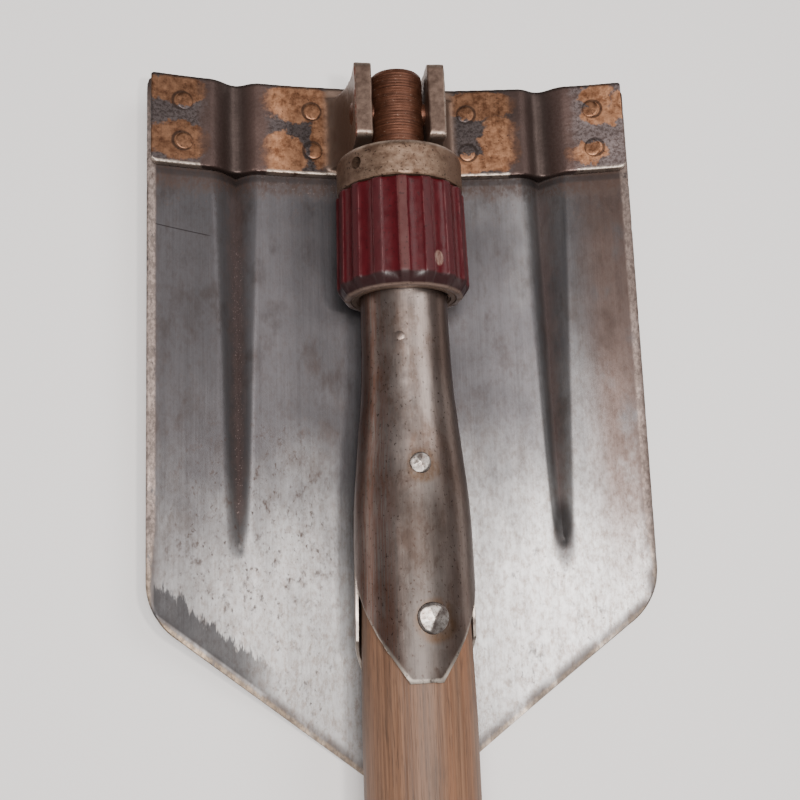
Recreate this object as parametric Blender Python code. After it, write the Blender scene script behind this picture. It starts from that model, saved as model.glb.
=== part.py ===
"""Folding camp shovel, folded: the handle lies along the back of the blade.

Lengths are in millimetres and are turned into metres by MM when a mesh or an object is made.
Every piece is drawn about the hinge pin: X along the pin, +Y past the hinge end, -Y down the
handle, +Z away from the blade. The whole object then stands with its lowest point at Z = 0.
"""

import math

import bmesh
import bpy
from mathutils import Matrix, Vector

MM = 0.001
GAP = 0.3
SMOOTH_ANGLE = math.radians(35)
ROUND_STEPS = 32
HOLE_STEPS = 16

# Blade: a pressed sheet, dished across its width, with two grooves that run out towards the tip.
BLADE_HALF_WIDTH = 75.0
BLADE_TOP = 16.6
BLADE_THICKNESS = 1.6
BLADE_BACK_Z = -20.5
DISH_RADIUS = 286.0
TOP_CORNER_RADIUS = 3.0
LOWER_EDGE_ANGLE = math.radians(37.5)
LOWER_EDGES_MEET = -204.4
SIDE_CORNER_RADIUS = 20.0
TIP_RADIUS = 18.0
GROOVE_X = 48.5
GROOVE_DEPTH = 6.0
GROOVE_HALF_WIDTH = 7.6
GROOVE_END_HALF_WIDTH = 3.4
GROOVE_TAPER_START = -13.0
GROOVE_END = -130.0
GROOVE_SHAPE = 1.8
GROOVE_FALL = 0.55

MIDDLE_COLUMNS = (0.0, 9.0, 18.0, 27.0, 35.0)
CORNER_COLUMNS = (BLADE_HALF_WIDTH - TOP_CORNER_RADIUS, BLADE_HALF_WIDTH - 1.2, BLADE_HALF_WIDTH)
OUTER_COLUMNS = (62.0, 68.0, *CORNER_COLUMNS)
SIDE_ROWS = (1.0, GROOVE_TAPER_START, -32.0, -52.0, -72.0, -92.0, -112.0, GROOVE_END)
LAST_TIP_ANGLE = math.radians(-82)

# Hinge plate: a strip riveted across the blade's back, with two ears that hold the pin.
PLATE_THICKNESS = 3.0
PLATE_HALF_WIDTH = 73.6
PLATE_LOW = -13.0
PLATE_LOW_RISE = 0.6
PLATE_LOW_CORNER = 1.2
PLATE_NOTCH_HALF_WIDTH = 9.4
PLATE_NOTCH_BOTTOM = 12.6
EAR_INNER_X = 8.35
EAR_OUTER_X = 13.5
EAR_FRONT_Z = 10.0
EAR_TOP = 12.4
EAR_BOTTOM = -10.9
EAR_CORNER = 1.6
EAR_FLARE_WIDTH = 7.0
EAR_FLARE_HEIGHT = 19.0
EAR_FLARE_STEPS = 6
EAR_CORNER_STEPS = 4
RIVET_COLUMNS = (24.7, 64.4)
RIVET_ROWS = (8.0, -5.0)
BLADE_RIVET_RADIUS = 2.65
BLADE_RIVET_PROUD = 0.1
EDGE_CHAMFER = 0.3
SHEET_DRILL_LENGTH = 4 * PLATE_THICKNESS
EAR_DRILL_LENGTH = 4 * EAR_OUTER_X

# Pin and stud: the stud swings between the ears, carries the nut and is pinned in the socket.
PIN_RADIUS = 3.5
PIN_HALF_LENGTH = 14.4
STUD_RADIUS = 8.0
STUD_END = 11.6
STUD_CHAMFER = 0.6
STUD_SHOULDER = -18.0
SHANK_RADIUS = 7.0
SPIGOT_RADIUS = 11.0
SPIGOT_TOP = -42.0
SPIGOT_END = -78.0
CROSS_PIN_RADIUS = 1.6
CROSS_PIN_Y = -72.0
CROSS_PIN_ANGLE = math.radians(-15)

# Nut: a steel core with a collar, a fluted sleeve round it and a wire ring in its mouth.
NUT_FACE = -15.2
NUT_LENGTH = 43.2
NUT_COUNTERBORE_RADIUS = 8.35
NUT_COUNTERBORE_DEPTH = 6.2
NUT_BORE_RADIUS = 7.3
NUT_BORE_END = 22.8
NUT_MOUTH_RADIUS = 13.7
COLLAR_RADIUS = 18.7
COLLAR_LENGTH = 11.0
COLLAR_ROUND = 2.5
CORE_RADIUS = 15.4
SPANNER_HOLE_RADIUS = 1.75
SPANNER_HOLE_Y = 5.4
SPANNER_HOLE_ANGLE = math.radians(-49)
SPANNER_DRILL_LENGTH = 8.0
SLEEVE_TOP_RADIUS = 19.0
SLEEVE_END_RADIUS = 19.5
SLEEVE_CHAMFER_LENGTH = 3.6
SLEEVE_CHAMFER_DEPTH = 2.4
FLUTES = 16
FLUTE_DEPTH = 0.8
RIDGE_SHARE = 0.36
FLUTE_STEPS = (0.46, 0.68, 0.9)
RING_RADIUS = 13.9
RING_WIRE_RADIUS = 0.6
RING_Y = 41.3
RING_SPLIT = math.radians(16)
RING_START = math.radians(-20)
RING_STEPS = 28
RING_GROOVE_RADIUS = 14.8
RING_GROOVE_HALF = 1.0

# Socket: two pressed halves that clasp the spigot and the wood, held by two through rivets.
SHEET = 1.3
SOCKET_STEPS = 12
SOCKET_PROFILE = (
    (-42.3, 12.6), (-60.0, 12.7), (-74.0, 12.85), (-85.0, 13.3), (-95.0, 14.2), (-105.0, 15.2),
    (-115.0, 16.1), (-125.0, 16.65), (-137.0, 16.8), (-150.0, 17.1), (-168.0, 17.5),
)
SEAM_HALF_ANGLE = math.radians(89.3)
SEAM_RUN_OUT = 6.0
TONGUE_STEPS = 5
FRONT_TONGUE = (-141.0, -167.0, math.radians(80), math.radians(15))
REAR_TONGUE = (-156.0, -174.0, math.radians(86), math.radians(24))
SOCKET_RIVETS = {
    "upper": {"y": -108.5, "angle": math.radians(2.7), "head": 2.95, "rise": 1.3},
    "lower": {"y": -150.3, "angle": math.radians(7.5), "head": 4.3, "rise": 1.9},
}
SOCKET_RIVET_RADIUS = 2.3
WASHER_RADIUS = 4.8
WASHER_THICKNESS = 1.0
PEEN_RADIUS = 3.6
PEEN_RISE = 0.9

# Handle: turned wood, let into the socket, with a rounded knob at its end.
WOOD_TOP = -79.0
WOOD_FIT = 0.5
WOOD_INSIDE = (WOOD_TOP, -85.0, -95.0, -105.0, -115.0, -125.0, -137.0, -150.0)
HANDLE_END = -500.0
WOOD_PROFILE = (
    (15.8, -168.0), (16.0, -180.0), (16.0, -330.0), (15.7, -420.0), (16.7, -445.0), (19.0, -464.0),
    (21.0, -478.0), (21.0, -486.0), (19.0, -494.0), (15.0, -498.5), (9.0, HANDLE_END), (0.0, HANDLE_END),
)

# Place of the hinge pin, so that the folded shovel is centred and stands on Z = 0.
PIVOT_Y = -(BLADE_TOP + HANDLE_END) / 2
GROOVE_DISH_Z = BLADE_BACK_Z + GROOVE_X**2 / (2 * DISH_RADIUS)
LOWEST_Z = GROOVE_DISH_Z - GROOVE_DEPTH - BLADE_THICKNESS
PIVOT = Vector((0.0, PIVOT_Y, -LOWEST_Z)) * MM
TIP_Y = LOWER_EDGES_MEET + TIP_RADIUS / math.cos(LOWER_EDGE_ANGLE) - TIP_RADIUS
BLADE_LEAN = (BLADE_BACK_Z - BLADE_THICKNESS - LOWEST_Z) / (GROOVE_TAPER_START - TIP_Y)


# Materials

def material(name, colour, roughness, metallic):
    made = bpy.data.materials.new(name)
    made.use_nodes = True
    shader = made.node_tree.nodes["Principled BSDF"]
    shader.inputs["Base Color"].default_value = (*colour, 1.0)
    shader.inputs["Roughness"].default_value = roughness
    shader.inputs["Metallic"].default_value = metallic
    made.diffuse_color = (*colour, 1.0)
    return made


# Helpers

def clear_scene():
    for obj in list(bpy.data.objects):
        bpy.data.objects.remove(obj, do_unlink=True)


def axis_empty(name, location):
    empty = bpy.data.objects.new(name, None)
    empty.empty_display_size = 20 * MM
    empty.location = location
    bpy.context.scene.collection.objects.link(empty)
    return empty


def finish(name, bm, parent, finish_material=None, matrix=None):
    """Turn a bmesh in millimetres into an object in metres under its parent."""
    bmesh.ops.remove_doubles(bm, verts=bm.verts, dist=0.001)
    bmesh.ops.recalc_face_normals(bm, faces=bm.faces)
    bmesh.ops.scale(bm, vec=(MM, MM, MM), verts=bm.verts)
    mesh = bpy.data.meshes.new(name)
    bm.to_mesh(mesh)
    bm.free()
    mesh.shade_smooth()
    mesh.set_sharp_from_angle(angle=SMOOTH_ANGLE)
    obj = bpy.data.objects.new(name, mesh)
    bpy.context.scene.collection.objects.link(obj)
    obj.parent = parent
    if matrix is not None:
        obj.matrix_local = matrix
    if finish_material is not None:
        mesh.materials.append(finish_material)
    return obj


def placed(x, y, z, rotation=None):
    matrix = Matrix.Translation(Vector((x, y, z)) * MM)
    return matrix @ rotation.to_4x4() if rotation is not None else matrix


def turned(profile, steps=ROUND_STEPS, closed=False):
    """Spin (radius, y) points about the Y axis. A closed profile makes a ring-shaped piece."""
    bm = bmesh.new()
    points = [bm.verts.new((radius, y, 0.0)) for radius, y in profile]
    pairs = zip(points, points[1:] + points[:1]) if closed else zip(points, points[1:])
    edges = [bm.edges.new(pair) for pair in pairs]
    bmesh.ops.spin(
        bm, geom=points + edges, cent=(0, 0, 0), axis=(0, 1, 0), angle=2 * math.pi, steps=steps,
        use_merge=True,
    )
    return bm


def arc(centre, radius, start, end, steps):
    """Points of an arc, as (first, second) coordinates."""
    angles = [start + (end - start) * i / steps for i in range(steps + 1)]
    return [(centre[0] + radius * math.cos(a), centre[1] + radius * math.sin(a)) for a in angles]


def drill(target, name, parent, radius, length, matrix):
    """Cut a round hole along the local Z of the matrix, centred on it."""
    bm = bmesh.new()
    bmesh.ops.create_cone(
        bm, cap_ends=True, segments=HOLE_STEPS, radius1=radius, radius2=radius, depth=length
    )
    cut(target, finish(name, bm, parent, matrix=matrix))


def box(x_range, y_range, z_range):
    bm = bmesh.new()
    bmesh.ops.create_cube(bm, size=1.0)
    size = [high - low for low, high in (x_range, y_range, z_range)]
    middle = [(high + low) / 2 for low, high in (x_range, y_range, z_range)]
    bmesh.ops.scale(bm, vec=size, verts=bm.verts)
    bmesh.ops.translate(bm, vec=middle, verts=bm.verts)
    return bm


def cut(target, cutter, operation="DIFFERENCE"):
    cutter.hide_render = True
    cutter.display_type = "WIRE"
    modifier = target.modifiers.new(cutter.name, "BOOLEAN")
    modifier.operation = operation
    modifier.solver = "EXACT"
    modifier.object = cutter


def interpolate(table, at):
    """Read a smooth curve through (position, value) pairs that run in falling order."""
    if at >= table[0][0]:
        return table[0][1]
    for (high, first), (low, second) in zip(table, table[1:]):
        if at >= low:
            return first + (second - first) * (high - at) / (high - low)
    return table[-1][1]


# Blade and hinge plate

def top_edge(x):
    """The edge at the hinge end, with its rounded outer corners."""
    past = max(0.0, abs(x) - (BLADE_HALF_WIDTH - TOP_CORNER_RADIUS))
    return BLADE_TOP - TOP_CORNER_RADIUS + math.sqrt(TOP_CORNER_RADIUS**2 - past**2)


def plate_low_edge(x):
    past = max(0.0, abs(x) - (PLATE_HALF_WIDTH - PLATE_LOW_CORNER)) / PLATE_LOW_CORNER
    return PLATE_LOW + PLATE_LOW_RISE * (x / PLATE_HALF_WIDTH) ** 2 + PLATE_LOW_CORNER * past**2


def groove_taper(y):
    """One where a groove is full, falling to zero where it runs out."""
    return min(1.0, max(0.0, (y - GROOVE_END) / (GROOVE_TAPER_START - GROOVE_END)))


def groove_half_width(y):
    return GROOVE_END_HALF_WIDTH + (GROOVE_HALF_WIDTH - GROOVE_END_HALF_WIDTH) * groove_taper(y)


def back_height(x, y):
    """Height of the blade's back face, the one towards the handle."""
    dish = BLADE_BACK_Z + x * x / (2 * DISH_RADIUS)
    lean = BLADE_LEAN * max(0.0, GROOVE_TAPER_START - y)
    off_valley = abs(abs(x) - GROOVE_X) / groove_half_width(y)
    depth = GROOVE_DEPTH * groove_taper(y) ** GROOVE_FALL
    groove = depth * max(0.0, 1.0 - off_valley) ** GROOVE_SHAPE
    return dish - lean - groove


def columns(y):
    """X positions across the right half of the sheet, gathered at the groove."""
    half = groove_half_width(y)
    groove = [GROOVE_X + half * step for step in (-1.0, -0.5, 0.0, 0.5, 1.0)]
    return [*MIDDLE_COLUMNS, *groove, *OUTER_COLUMNS]


def sheet(rows, thickness, lift):
    """A grid of (x, y) rows laid on the blade's back face, extruded upwards by the thickness."""
    bm = bmesh.new()
    grid = [[bm.verts.new((x, y, back_height(x, y) + lift)) for x, y in row] for row in rows]
    faces = []
    for upper, lower in zip(grid, grid[1:]):
        for left in range(len(upper) - 1):
            faces.append(bm.faces.new((upper[left], upper[left + 1], lower[left + 1], lower[left])))
    raised = bmesh.ops.extrude_face_region(bm, geom=faces)["geom"]
    lifted = [item for item in raised if isinstance(item, bmesh.types.BMVert)]
    bmesh.ops.translate(bm, vec=(0.0, 0.0, thickness), verts=lifted)
    return bm


def mirrored(half):
    return [-x for x in reversed(half[1:])] + half


def blade_outline():
    """(half width, y) down the blade: side, rounded corner, straight lower edge, rounded tip."""
    turn = math.pi / 2 - LOWER_EDGE_ANGLE
    side_end = LOWER_EDGES_MEET + math.tan(LOWER_EDGE_ANGLE) * BLADE_HALF_WIDTH
    side_end += SIDE_CORNER_RADIUS * math.tan(turn / 2)
    straight = [(BLADE_HALF_WIDTH, y) for y in SIDE_ROWS]
    corner_centre = (BLADE_HALF_WIDTH - SIDE_CORNER_RADIUS, side_end)
    corner = arc(corner_centre, SIDE_CORNER_RADIUS, 0.0, -turn, 5)
    tip_centre = (0.0, LOWER_EDGES_MEET + TIP_RADIUS / math.cos(LOWER_EDGE_ANGLE))
    tip = arc(tip_centre, TIP_RADIUS, -turn, LAST_TIP_ANGLE, 3)
    (wide, high), (narrow, low) = corner[-1], tip[0]
    edge = [(wide + (narrow - wide) * step / 4, high + (low - high) * step / 4) for step in (1, 2, 3)]
    return straight + corner + edge + tip


def make_blade(parent, steel):
    rows = [[(x, top_edge(x)) for x in mirrored(columns(BLADE_TOP))]]
    for half_width, y in blade_outline():
        narrowed = half_width / BLADE_HALF_WIDTH
        rows.append([(x * narrowed, y) for x in mirrored(columns(y))])
    bm = sheet(rows, BLADE_THICKNESS, -BLADE_THICKNESS)
    return finish("blade", bm, parent, steel)


def make_hinge_plate(parent, steel):
    inner_columns = [x for x in columns(0.0) if x < PLATE_HALF_WIDTH - PLATE_LOW_CORNER]
    across = mirrored([*inner_columns, PLATE_HALF_WIDTH])
    rows = []
    for level in (1.0, 0.5, 0.0):
        rows.append([(x, plate_low_edge(x) + (top_edge(x) - plate_low_edge(x)) * level) for x in across])
    plate = finish("hinge_plate", sheet(rows, PLATE_THICKNESS, GAP), parent, steel)
    notch_x = (-PLATE_NOTCH_HALF_WIDTH, PLATE_NOTCH_HALF_WIDTH)
    notch = box(notch_x, (PLATE_NOTCH_BOTTOM, BLADE_TOP + 5), (BLADE_BACK_Z - 5, 0.0))
    cut(plate, finish("plate_notch", notch, parent))
    for name, side in (("left_ear", -1), ("right_ear", 1)):
        cut(plate, make_ear(name, side, parent), "UNION")
    drill(plate, "ear_bore", parent, PIN_RADIUS + GAP, EAR_DRILL_LENGTH, pin_direction())
    return plate


def make_ear(name, side, parent):
    """An ear with a flared outer root, drawn in XZ and extruded along Y, its front corners rounded."""
    flare_x = EAR_OUTER_X + EAR_FLARE_WIDTH
    dish_rise = flare_x**2 / (2 * DISH_RADIUS)
    foot = BLADE_BACK_Z + GAP + PLATE_THICKNESS / 2
    plate_top = foot + PLATE_THICKNESS / 2 + dish_rise
    quarter = arc((1.0, 1.0), 1.0, math.pi, 1.5 * math.pi, EAR_FLARE_STEPS)
    flare = [(EAR_OUTER_X + EAR_FLARE_WIDTH * out, plate_top + EAR_FLARE_HEIGHT * up) for out, up in quarter]
    outline = [(EAR_INNER_X, foot), (EAR_INNER_X, EAR_FRONT_Z), (EAR_OUTER_X, EAR_FRONT_Z)]
    outline += [*flare, (flare_x, foot + dish_rise)]
    bm = bmesh.new()
    face = bm.faces.new([bm.verts.new((side * x, EAR_BOTTOM, z)) for x, z in outline])
    raised = bmesh.ops.extrude_face_region(bm, geom=[face])["geom"]
    far = [item for item in raised if isinstance(item, bmesh.types.BMVert)]
    bmesh.ops.translate(bm, vec=(0.0, EAR_TOP - EAR_BOTTOM, 0.0), verts=far)
    front = [edge for edge in bm.edges if all(v.co.z == EAR_FRONT_Z for v in edge.verts)
             and abs(edge.verts[0].co.y - edge.verts[1].co.y) < GAP]
    bmesh.ops.bevel(
        bm, geom=front, offset=EAR_CORNER, segments=EAR_CORNER_STEPS, profile=0.5, affect="EDGES"
    )
    return finish(name, bm, parent)


def pin_direction():
    return placed(0.0, 0.0, 0.0, Matrix.Rotation(math.pi / 2, 3, "Y"))


def rivet_place(x, y):
    """Matrix at a rivet, its Z square to the dished sheet."""
    normal = Vector((-x / DISH_RADIUS, 0.0, 1.0)).normalized()
    tilt = normal.to_track_quat("Z", "Y").to_matrix()
    return placed(x, y, BLADE_BACK_Z + x * x / (2 * DISH_RADIUS), tilt)


def make_blade_rivets(parent, blade, plate, steel):
    """Eight flush rivets and their holes, numbered from the left along each row."""
    spots = [(x, y) for y in RIVET_ROWS for x in mirrored([0.0, *RIVET_COLUMNS]) if x]
    top = GAP + PLATE_THICKNESS + BLADE_RIVET_PROUD
    bottom = -BLADE_THICKNESS - BLADE_RIVET_PROUD
    for number, (x, y) in enumerate(spots, 1):
        matrix = rivet_place(x, y)
        for target in (blade, plate):
            hole = f"{target.name}_hole_{number}"
            drill(target, hole, parent, BLADE_RIVET_RADIUS + GAP, SHEET_DRILL_LENGTH, matrix)
        flat = BLADE_RIVET_RADIUS - EDGE_CHAMFER
        profile = [(0.0, top), (flat, top), (BLADE_RIVET_RADIUS, top - EDGE_CHAMFER)]
        profile += [(BLADE_RIVET_RADIUS, bottom + EDGE_CHAMFER), (flat, bottom), (0.0, bottom)]
        bm = turned(profile, HOLE_STEPS)
        bmesh.ops.rotate(bm, verts=bm.verts, matrix=Matrix.Rotation(math.pi / 2, 3, "X"))
        finish(f"blade_rivet_{number}", bm, parent, steel, matrix)


def make_hinge_pin(parent, steel):
    """The pin, with low domed ends peened outside the ears' bores."""
    dome = PIN_HALF_LENGTH - EAR_OUTER_X
    shoulder = (PIN_RADIUS * 0.7, PIN_HALF_LENGTH - dome * 0.35)
    half = [(0.0, PIN_HALF_LENGTH), shoulder, (PIN_RADIUS, EAR_OUTER_X)]
    profile = half + [(radius, -along) for radius, along in reversed(half)]
    bm = turned(profile, HOLE_STEPS)
    bmesh.ops.rotate(bm, verts=bm.verts, matrix=Matrix.Rotation(-math.pi / 2, 3, "Z"))
    return finish("hinge_pin", bm, parent, steel)


# Stud, socket and handle

def cross_direction(y, angle):
    """Matrix on the handle's axis whose Z points out at an angle from +Z towards +X."""
    return placed(0.0, y, 0.0, Matrix.Rotation(angle, 3, "Y"))


def make_hinge_stud(parent, steel):
    profile = [
        (0.0, STUD_END), (STUD_RADIUS - STUD_CHAMFER, STUD_END), (STUD_RADIUS, STUD_END - STUD_CHAMFER),
        (STUD_RADIUS, STUD_SHOULDER), (SHANK_RADIUS, STUD_SHOULDER - 1.0), (SHANK_RADIUS, SPIGOT_TOP),
        (SPIGOT_RADIUS, SPIGOT_TOP), (SPIGOT_RADIUS, SPIGOT_END + 1.5), (SPIGOT_RADIUS - 1.5, SPIGOT_END),
        (0.0, SPIGOT_END),
    ]
    stud = finish("hinge_stud", turned(profile), parent, steel)
    drill(stud, "stud_bore", parent, PIN_RADIUS + GAP, 4 * STUD_RADIUS, pin_direction())
    drill(stud, "stud_pin_hole", parent, CROSS_PIN_RADIUS + GAP, 4 * SPIGOT_RADIUS,
          cross_direction(CROSS_PIN_Y, CROSS_PIN_ANGLE))
    return stud


def make_cross_pin(parent, steel):
    reach = interpolate(SOCKET_PROFILE, CROSS_PIN_Y)
    half = [(0.0, reach), (CROSS_PIN_RADIUS - EDGE_CHAMFER, reach), (CROSS_PIN_RADIUS, reach - EDGE_CHAMFER)]
    profile = half + [(radius, -along) for radius, along in reversed(half)]
    bm = turned(profile, HOLE_STEPS)
    bmesh.ops.rotate(bm, verts=bm.verts, matrix=Matrix.Rotation(math.pi / 2, 3, "X"))
    return finish("stud_cross_pin", bm, parent, steel, cross_direction(CROSS_PIN_Y, CROSS_PIN_ANGLE))


def tongue_half_angle(tongue, y):
    start, end, wide, narrow = tongue
    if y >= start:
        run_out = max(0.0, (start + SEAM_RUN_OUT - y) / SEAM_RUN_OUT)
        return SEAM_HALF_ANGLE + (wide - SEAM_HALF_ANGLE) * run_out
    return wide + (narrow - wide) * (start - y) / (start - end)


def make_socket_half(name, middle, tongue, parent, steel):
    """A half shell about an angle from +Z, open along both seams, its end cut to a tongue."""
    start, end = tongue[:2]
    levels = [y for y, _ in SOCKET_PROFILE if y > start + SEAM_RUN_OUT]
    levels.append(start + SEAM_RUN_OUT)
    levels += [start + (end - start) * i / TONGUE_STEPS for i in range(TONGUE_STEPS + 1)]
    steps = SOCKET_STEPS
    bm = bmesh.new()
    walls = []
    for inset in (0.0, SHEET):
        grid = []
        for y in levels:
            half_angle = tongue_half_angle(tongue, y)
            radius = interpolate(SOCKET_PROFILE, y) - inset
            angles = [middle + half_angle * (2 * i / steps - 1) for i in range(steps + 1)]
            grid.append([bm.verts.new((radius * math.sin(a), y, radius * math.cos(a))) for a in angles])
        walls.append(grid)
        for upper, lower in zip(grid, grid[1:]):
            for left in range(steps):
                bm.faces.new((upper[left], upper[left + 1], lower[left + 1], lower[left]))
    outer, inner = [rim_of(grid) for grid in walls]
    for here in range(len(outer)):
        after = (here + 1) % len(outer)
        bm.faces.new((outer[here], outer[after], inner[after], inner[here]))
    return finish(name, bm, parent, steel)


def rim_of(grid):
    """The vertices round the edge of a grid, in order."""
    right = [row[-1] for row in grid[1:-1]]
    left = [row[0] for row in reversed(grid[1:-1])]
    return grid[0] + right + list(reversed(grid[-1])) + left


def make_handle(parent, wood):
    inside = [(interpolate(SOCKET_PROFILE, y) - SHEET - WOOD_FIT, y) for y in WOOD_INSIDE]
    return finish("handle", turned([(0.0, WOOD_TOP), *inside, *WOOD_PROFILE]), parent, wood)


def seat(rivet, radius):
    """Distance from the axis at which a flat disc of this radius clears the tapering socket."""
    return interpolate(SOCKET_PROFILE, rivet["y"] - radius) + GAP


def make_socket_rivet(name, rivet, parent, steel):
    """A through rivet: domed head in front, shank, and a low peened end over the rear washer."""
    reach = seat(rivet, rivet["head"])
    head = arc((0.0, reach), 1.0, math.pi / 2, 0.0, 4)
    profile = [(rivet["head"] * x, reach + rivet["rise"] * (y - reach)) for x, y in head]
    peen = -(seat(rivet, WASHER_RADIUS) + WASHER_THICKNESS + GAP)
    profile += [(SOCKET_RIVET_RADIUS, reach), (SOCKET_RIVET_RADIUS, peen), (PEEN_RADIUS, peen)]
    profile += [(PEEN_RADIUS * 0.6, peen - PEEN_RISE), (0.0, peen - PEEN_RISE)]
    bm = turned(profile, 20)
    bmesh.ops.rotate(bm, verts=bm.verts, matrix=Matrix.Rotation(math.pi / 2, 3, "X"))
    return finish(name, bm, parent, steel, cross_direction(rivet["y"], rivet["angle"]))


def make_washer(name, rivet, parent, steel):
    inner = SOCKET_RIVET_RADIUS + GAP
    near = -seat(rivet, WASHER_RADIUS)
    far = near - WASHER_THICKNESS
    profile = [(inner, near), (WASHER_RADIUS, near), (WASHER_RADIUS, far + 0.4), (WASHER_RADIUS - 0.5, far),
               (inner, far)]
    bm = turned(profile, 20, closed=True)
    bmesh.ops.rotate(bm, verts=bm.verts, matrix=Matrix.Rotation(math.pi / 2, 3, "X"))
    return finish(name, bm, parent, steel, cross_direction(rivet["y"], rivet["angle"]))


def make_socket_and_handle(parent, steel, bright, wood):
    front = make_socket_half("socket_front", 0.0, FRONT_TONGUE, parent, steel)
    rear = make_socket_half("socket_rear", math.pi, REAR_TONGUE, parent, steel)
    handle = make_handle(parent, wood)
    for shell in (front, rear):
        drill(shell, f"{shell.name}_pin_hole", parent, CROSS_PIN_RADIUS + GAP, 4 * SPIGOT_RADIUS,
              cross_direction(CROSS_PIN_Y, CROSS_PIN_ANGLE))
    for place, rivet in SOCKET_RIVETS.items():
        for target in (front, rear, handle):
            drill(target, f"{target.name}_{place}_hole", parent, SOCKET_RIVET_RADIUS + GAP, 8 * SPIGOT_RADIUS,
                  cross_direction(rivet["y"], rivet["angle"]))
        make_socket_rivet(f"socket_rivet_{place}", rivet, parent, bright)
        make_washer(f"rivet_washer_{place}", rivet, parent, steel)


# Nut, drawn from its face: Y runs down from 0 at the face

def make_nut_core(parent, steel):
    rounded = arc((COLLAR_RADIUS - COLLAR_ROUND, -COLLAR_ROUND), COLLAR_ROUND, math.pi / 2, 0.0, 4)
    groove_top = -(RING_Y - RING_GROOVE_HALF)
    groove_end = -(RING_Y + RING_GROOVE_HALF)
    profile = [(NUT_COUNTERBORE_RADIUS, 0.0), *rounded, (COLLAR_RADIUS, -COLLAR_LENGTH)]
    profile += [(CORE_RADIUS, -COLLAR_LENGTH), (CORE_RADIUS, -NUT_LENGTH), (NUT_MOUTH_RADIUS, -NUT_LENGTH)]
    profile += [(NUT_MOUTH_RADIUS, groove_end), (RING_GROOVE_RADIUS, groove_end)]
    profile += [(RING_GROOVE_RADIUS, groove_top), (NUT_MOUTH_RADIUS, groove_top)]
    profile += [(NUT_MOUTH_RADIUS, -NUT_BORE_END), (NUT_BORE_RADIUS, -NUT_BORE_END)]
    profile += [(NUT_BORE_RADIUS, -NUT_COUNTERBORE_DEPTH), (NUT_COUNTERBORE_RADIUS, -NUT_COUNTERBORE_DEPTH)]
    core = finish("nut_core", turned(profile, closed=True), parent, steel)
    for number in range(2):
        angle = SPANNER_HOLE_ANGLE + number * math.pi
        turn = Matrix.Rotation(angle, 3, "Y")
        middle = turn @ Vector((0.0, 0.0, COLLAR_RADIUS))
        drill(core, f"spanner_hole_{number + 1}", parent, SPANNER_HOLE_RADIUS, SPANNER_DRILL_LENGTH,
              placed(middle.x, -SPANNER_HOLE_Y, middle.z, turn))
    return core


def flute_radius(step, radius):
    """Radius of the sleeve over one pitch: a flat-topped ridge, then a hollow flute."""
    if step < RIDGE_SHARE:
        return radius
    across = (step - RIDGE_SHARE) / (1 - RIDGE_SHARE)
    return radius - FLUTE_DEPTH * math.sin(math.pi * across) ** 0.5


def make_nut_sleeve(parent, plastic):
    """A fluted tube, widening a little to its chamfered end."""
    steps = [0.0, RIDGE_SHARE / 2, RIDGE_SHARE, *FLUTE_STEPS]
    top = -(COLLAR_LENGTH + GAP)
    end = -NUT_LENGTH
    levels = [(top, SLEEVE_TOP_RADIUS, True), (end + SLEEVE_CHAMFER_LENGTH, SLEEVE_END_RADIUS, True)]
    levels += [(end, SLEEVE_END_RADIUS - SLEEVE_CHAMFER_DEPTH, False)]
    bore = CORE_RADIUS + GAP
    bm = bmesh.new()
    rings = []
    for y, radius, fluted in levels + [(end, bore, False), (top, bore, False)]:
        ring = []
        for number in range(FLUTES):
            for step in steps:
                angle = 2 * math.pi * (number + step - RIDGE_SHARE / 2) / FLUTES
                reach = flute_radius(step, radius) if fluted else radius
                ring.append(bm.verts.new((reach * math.sin(angle), y, reach * math.cos(angle))))
        rings.append(ring)
    for first, second in zip(rings, rings[1:] + rings[:1]):
        for here in range(len(first)):
            after = (here + 1) % len(first)
            bm.faces.new((first[here], first[after], second[after], second[here]))
    return finish("nut_sleeve", bm, parent, plastic)


def make_nut_ring(parent, steel):
    """A split wire ring, swept round the nut's axis from one cut end to the other."""
    bm = bmesh.new()
    wire = bmesh.ops.create_circle(bm, cap_ends=True, segments=8, radius=RING_WIRE_RADIUS)["verts"]
    bmesh.ops.translate(bm, vec=(RING_RADIUS, -RING_Y, 0.0), verts=wire)
    bmesh.ops.rotate(bm, verts=wire, cent=(0, 0, 0), matrix=Matrix.Rotation(RING_START, 3, "Y"))
    bmesh.ops.spin(bm, geom=bm.faces[:], cent=(0, 0, 0), axis=(0, 1, 0),
                   angle=2 * math.pi - RING_SPLIT, steps=RING_STEPS)
    return finish("nut_retaining_ring", bm, parent, steel)


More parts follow.
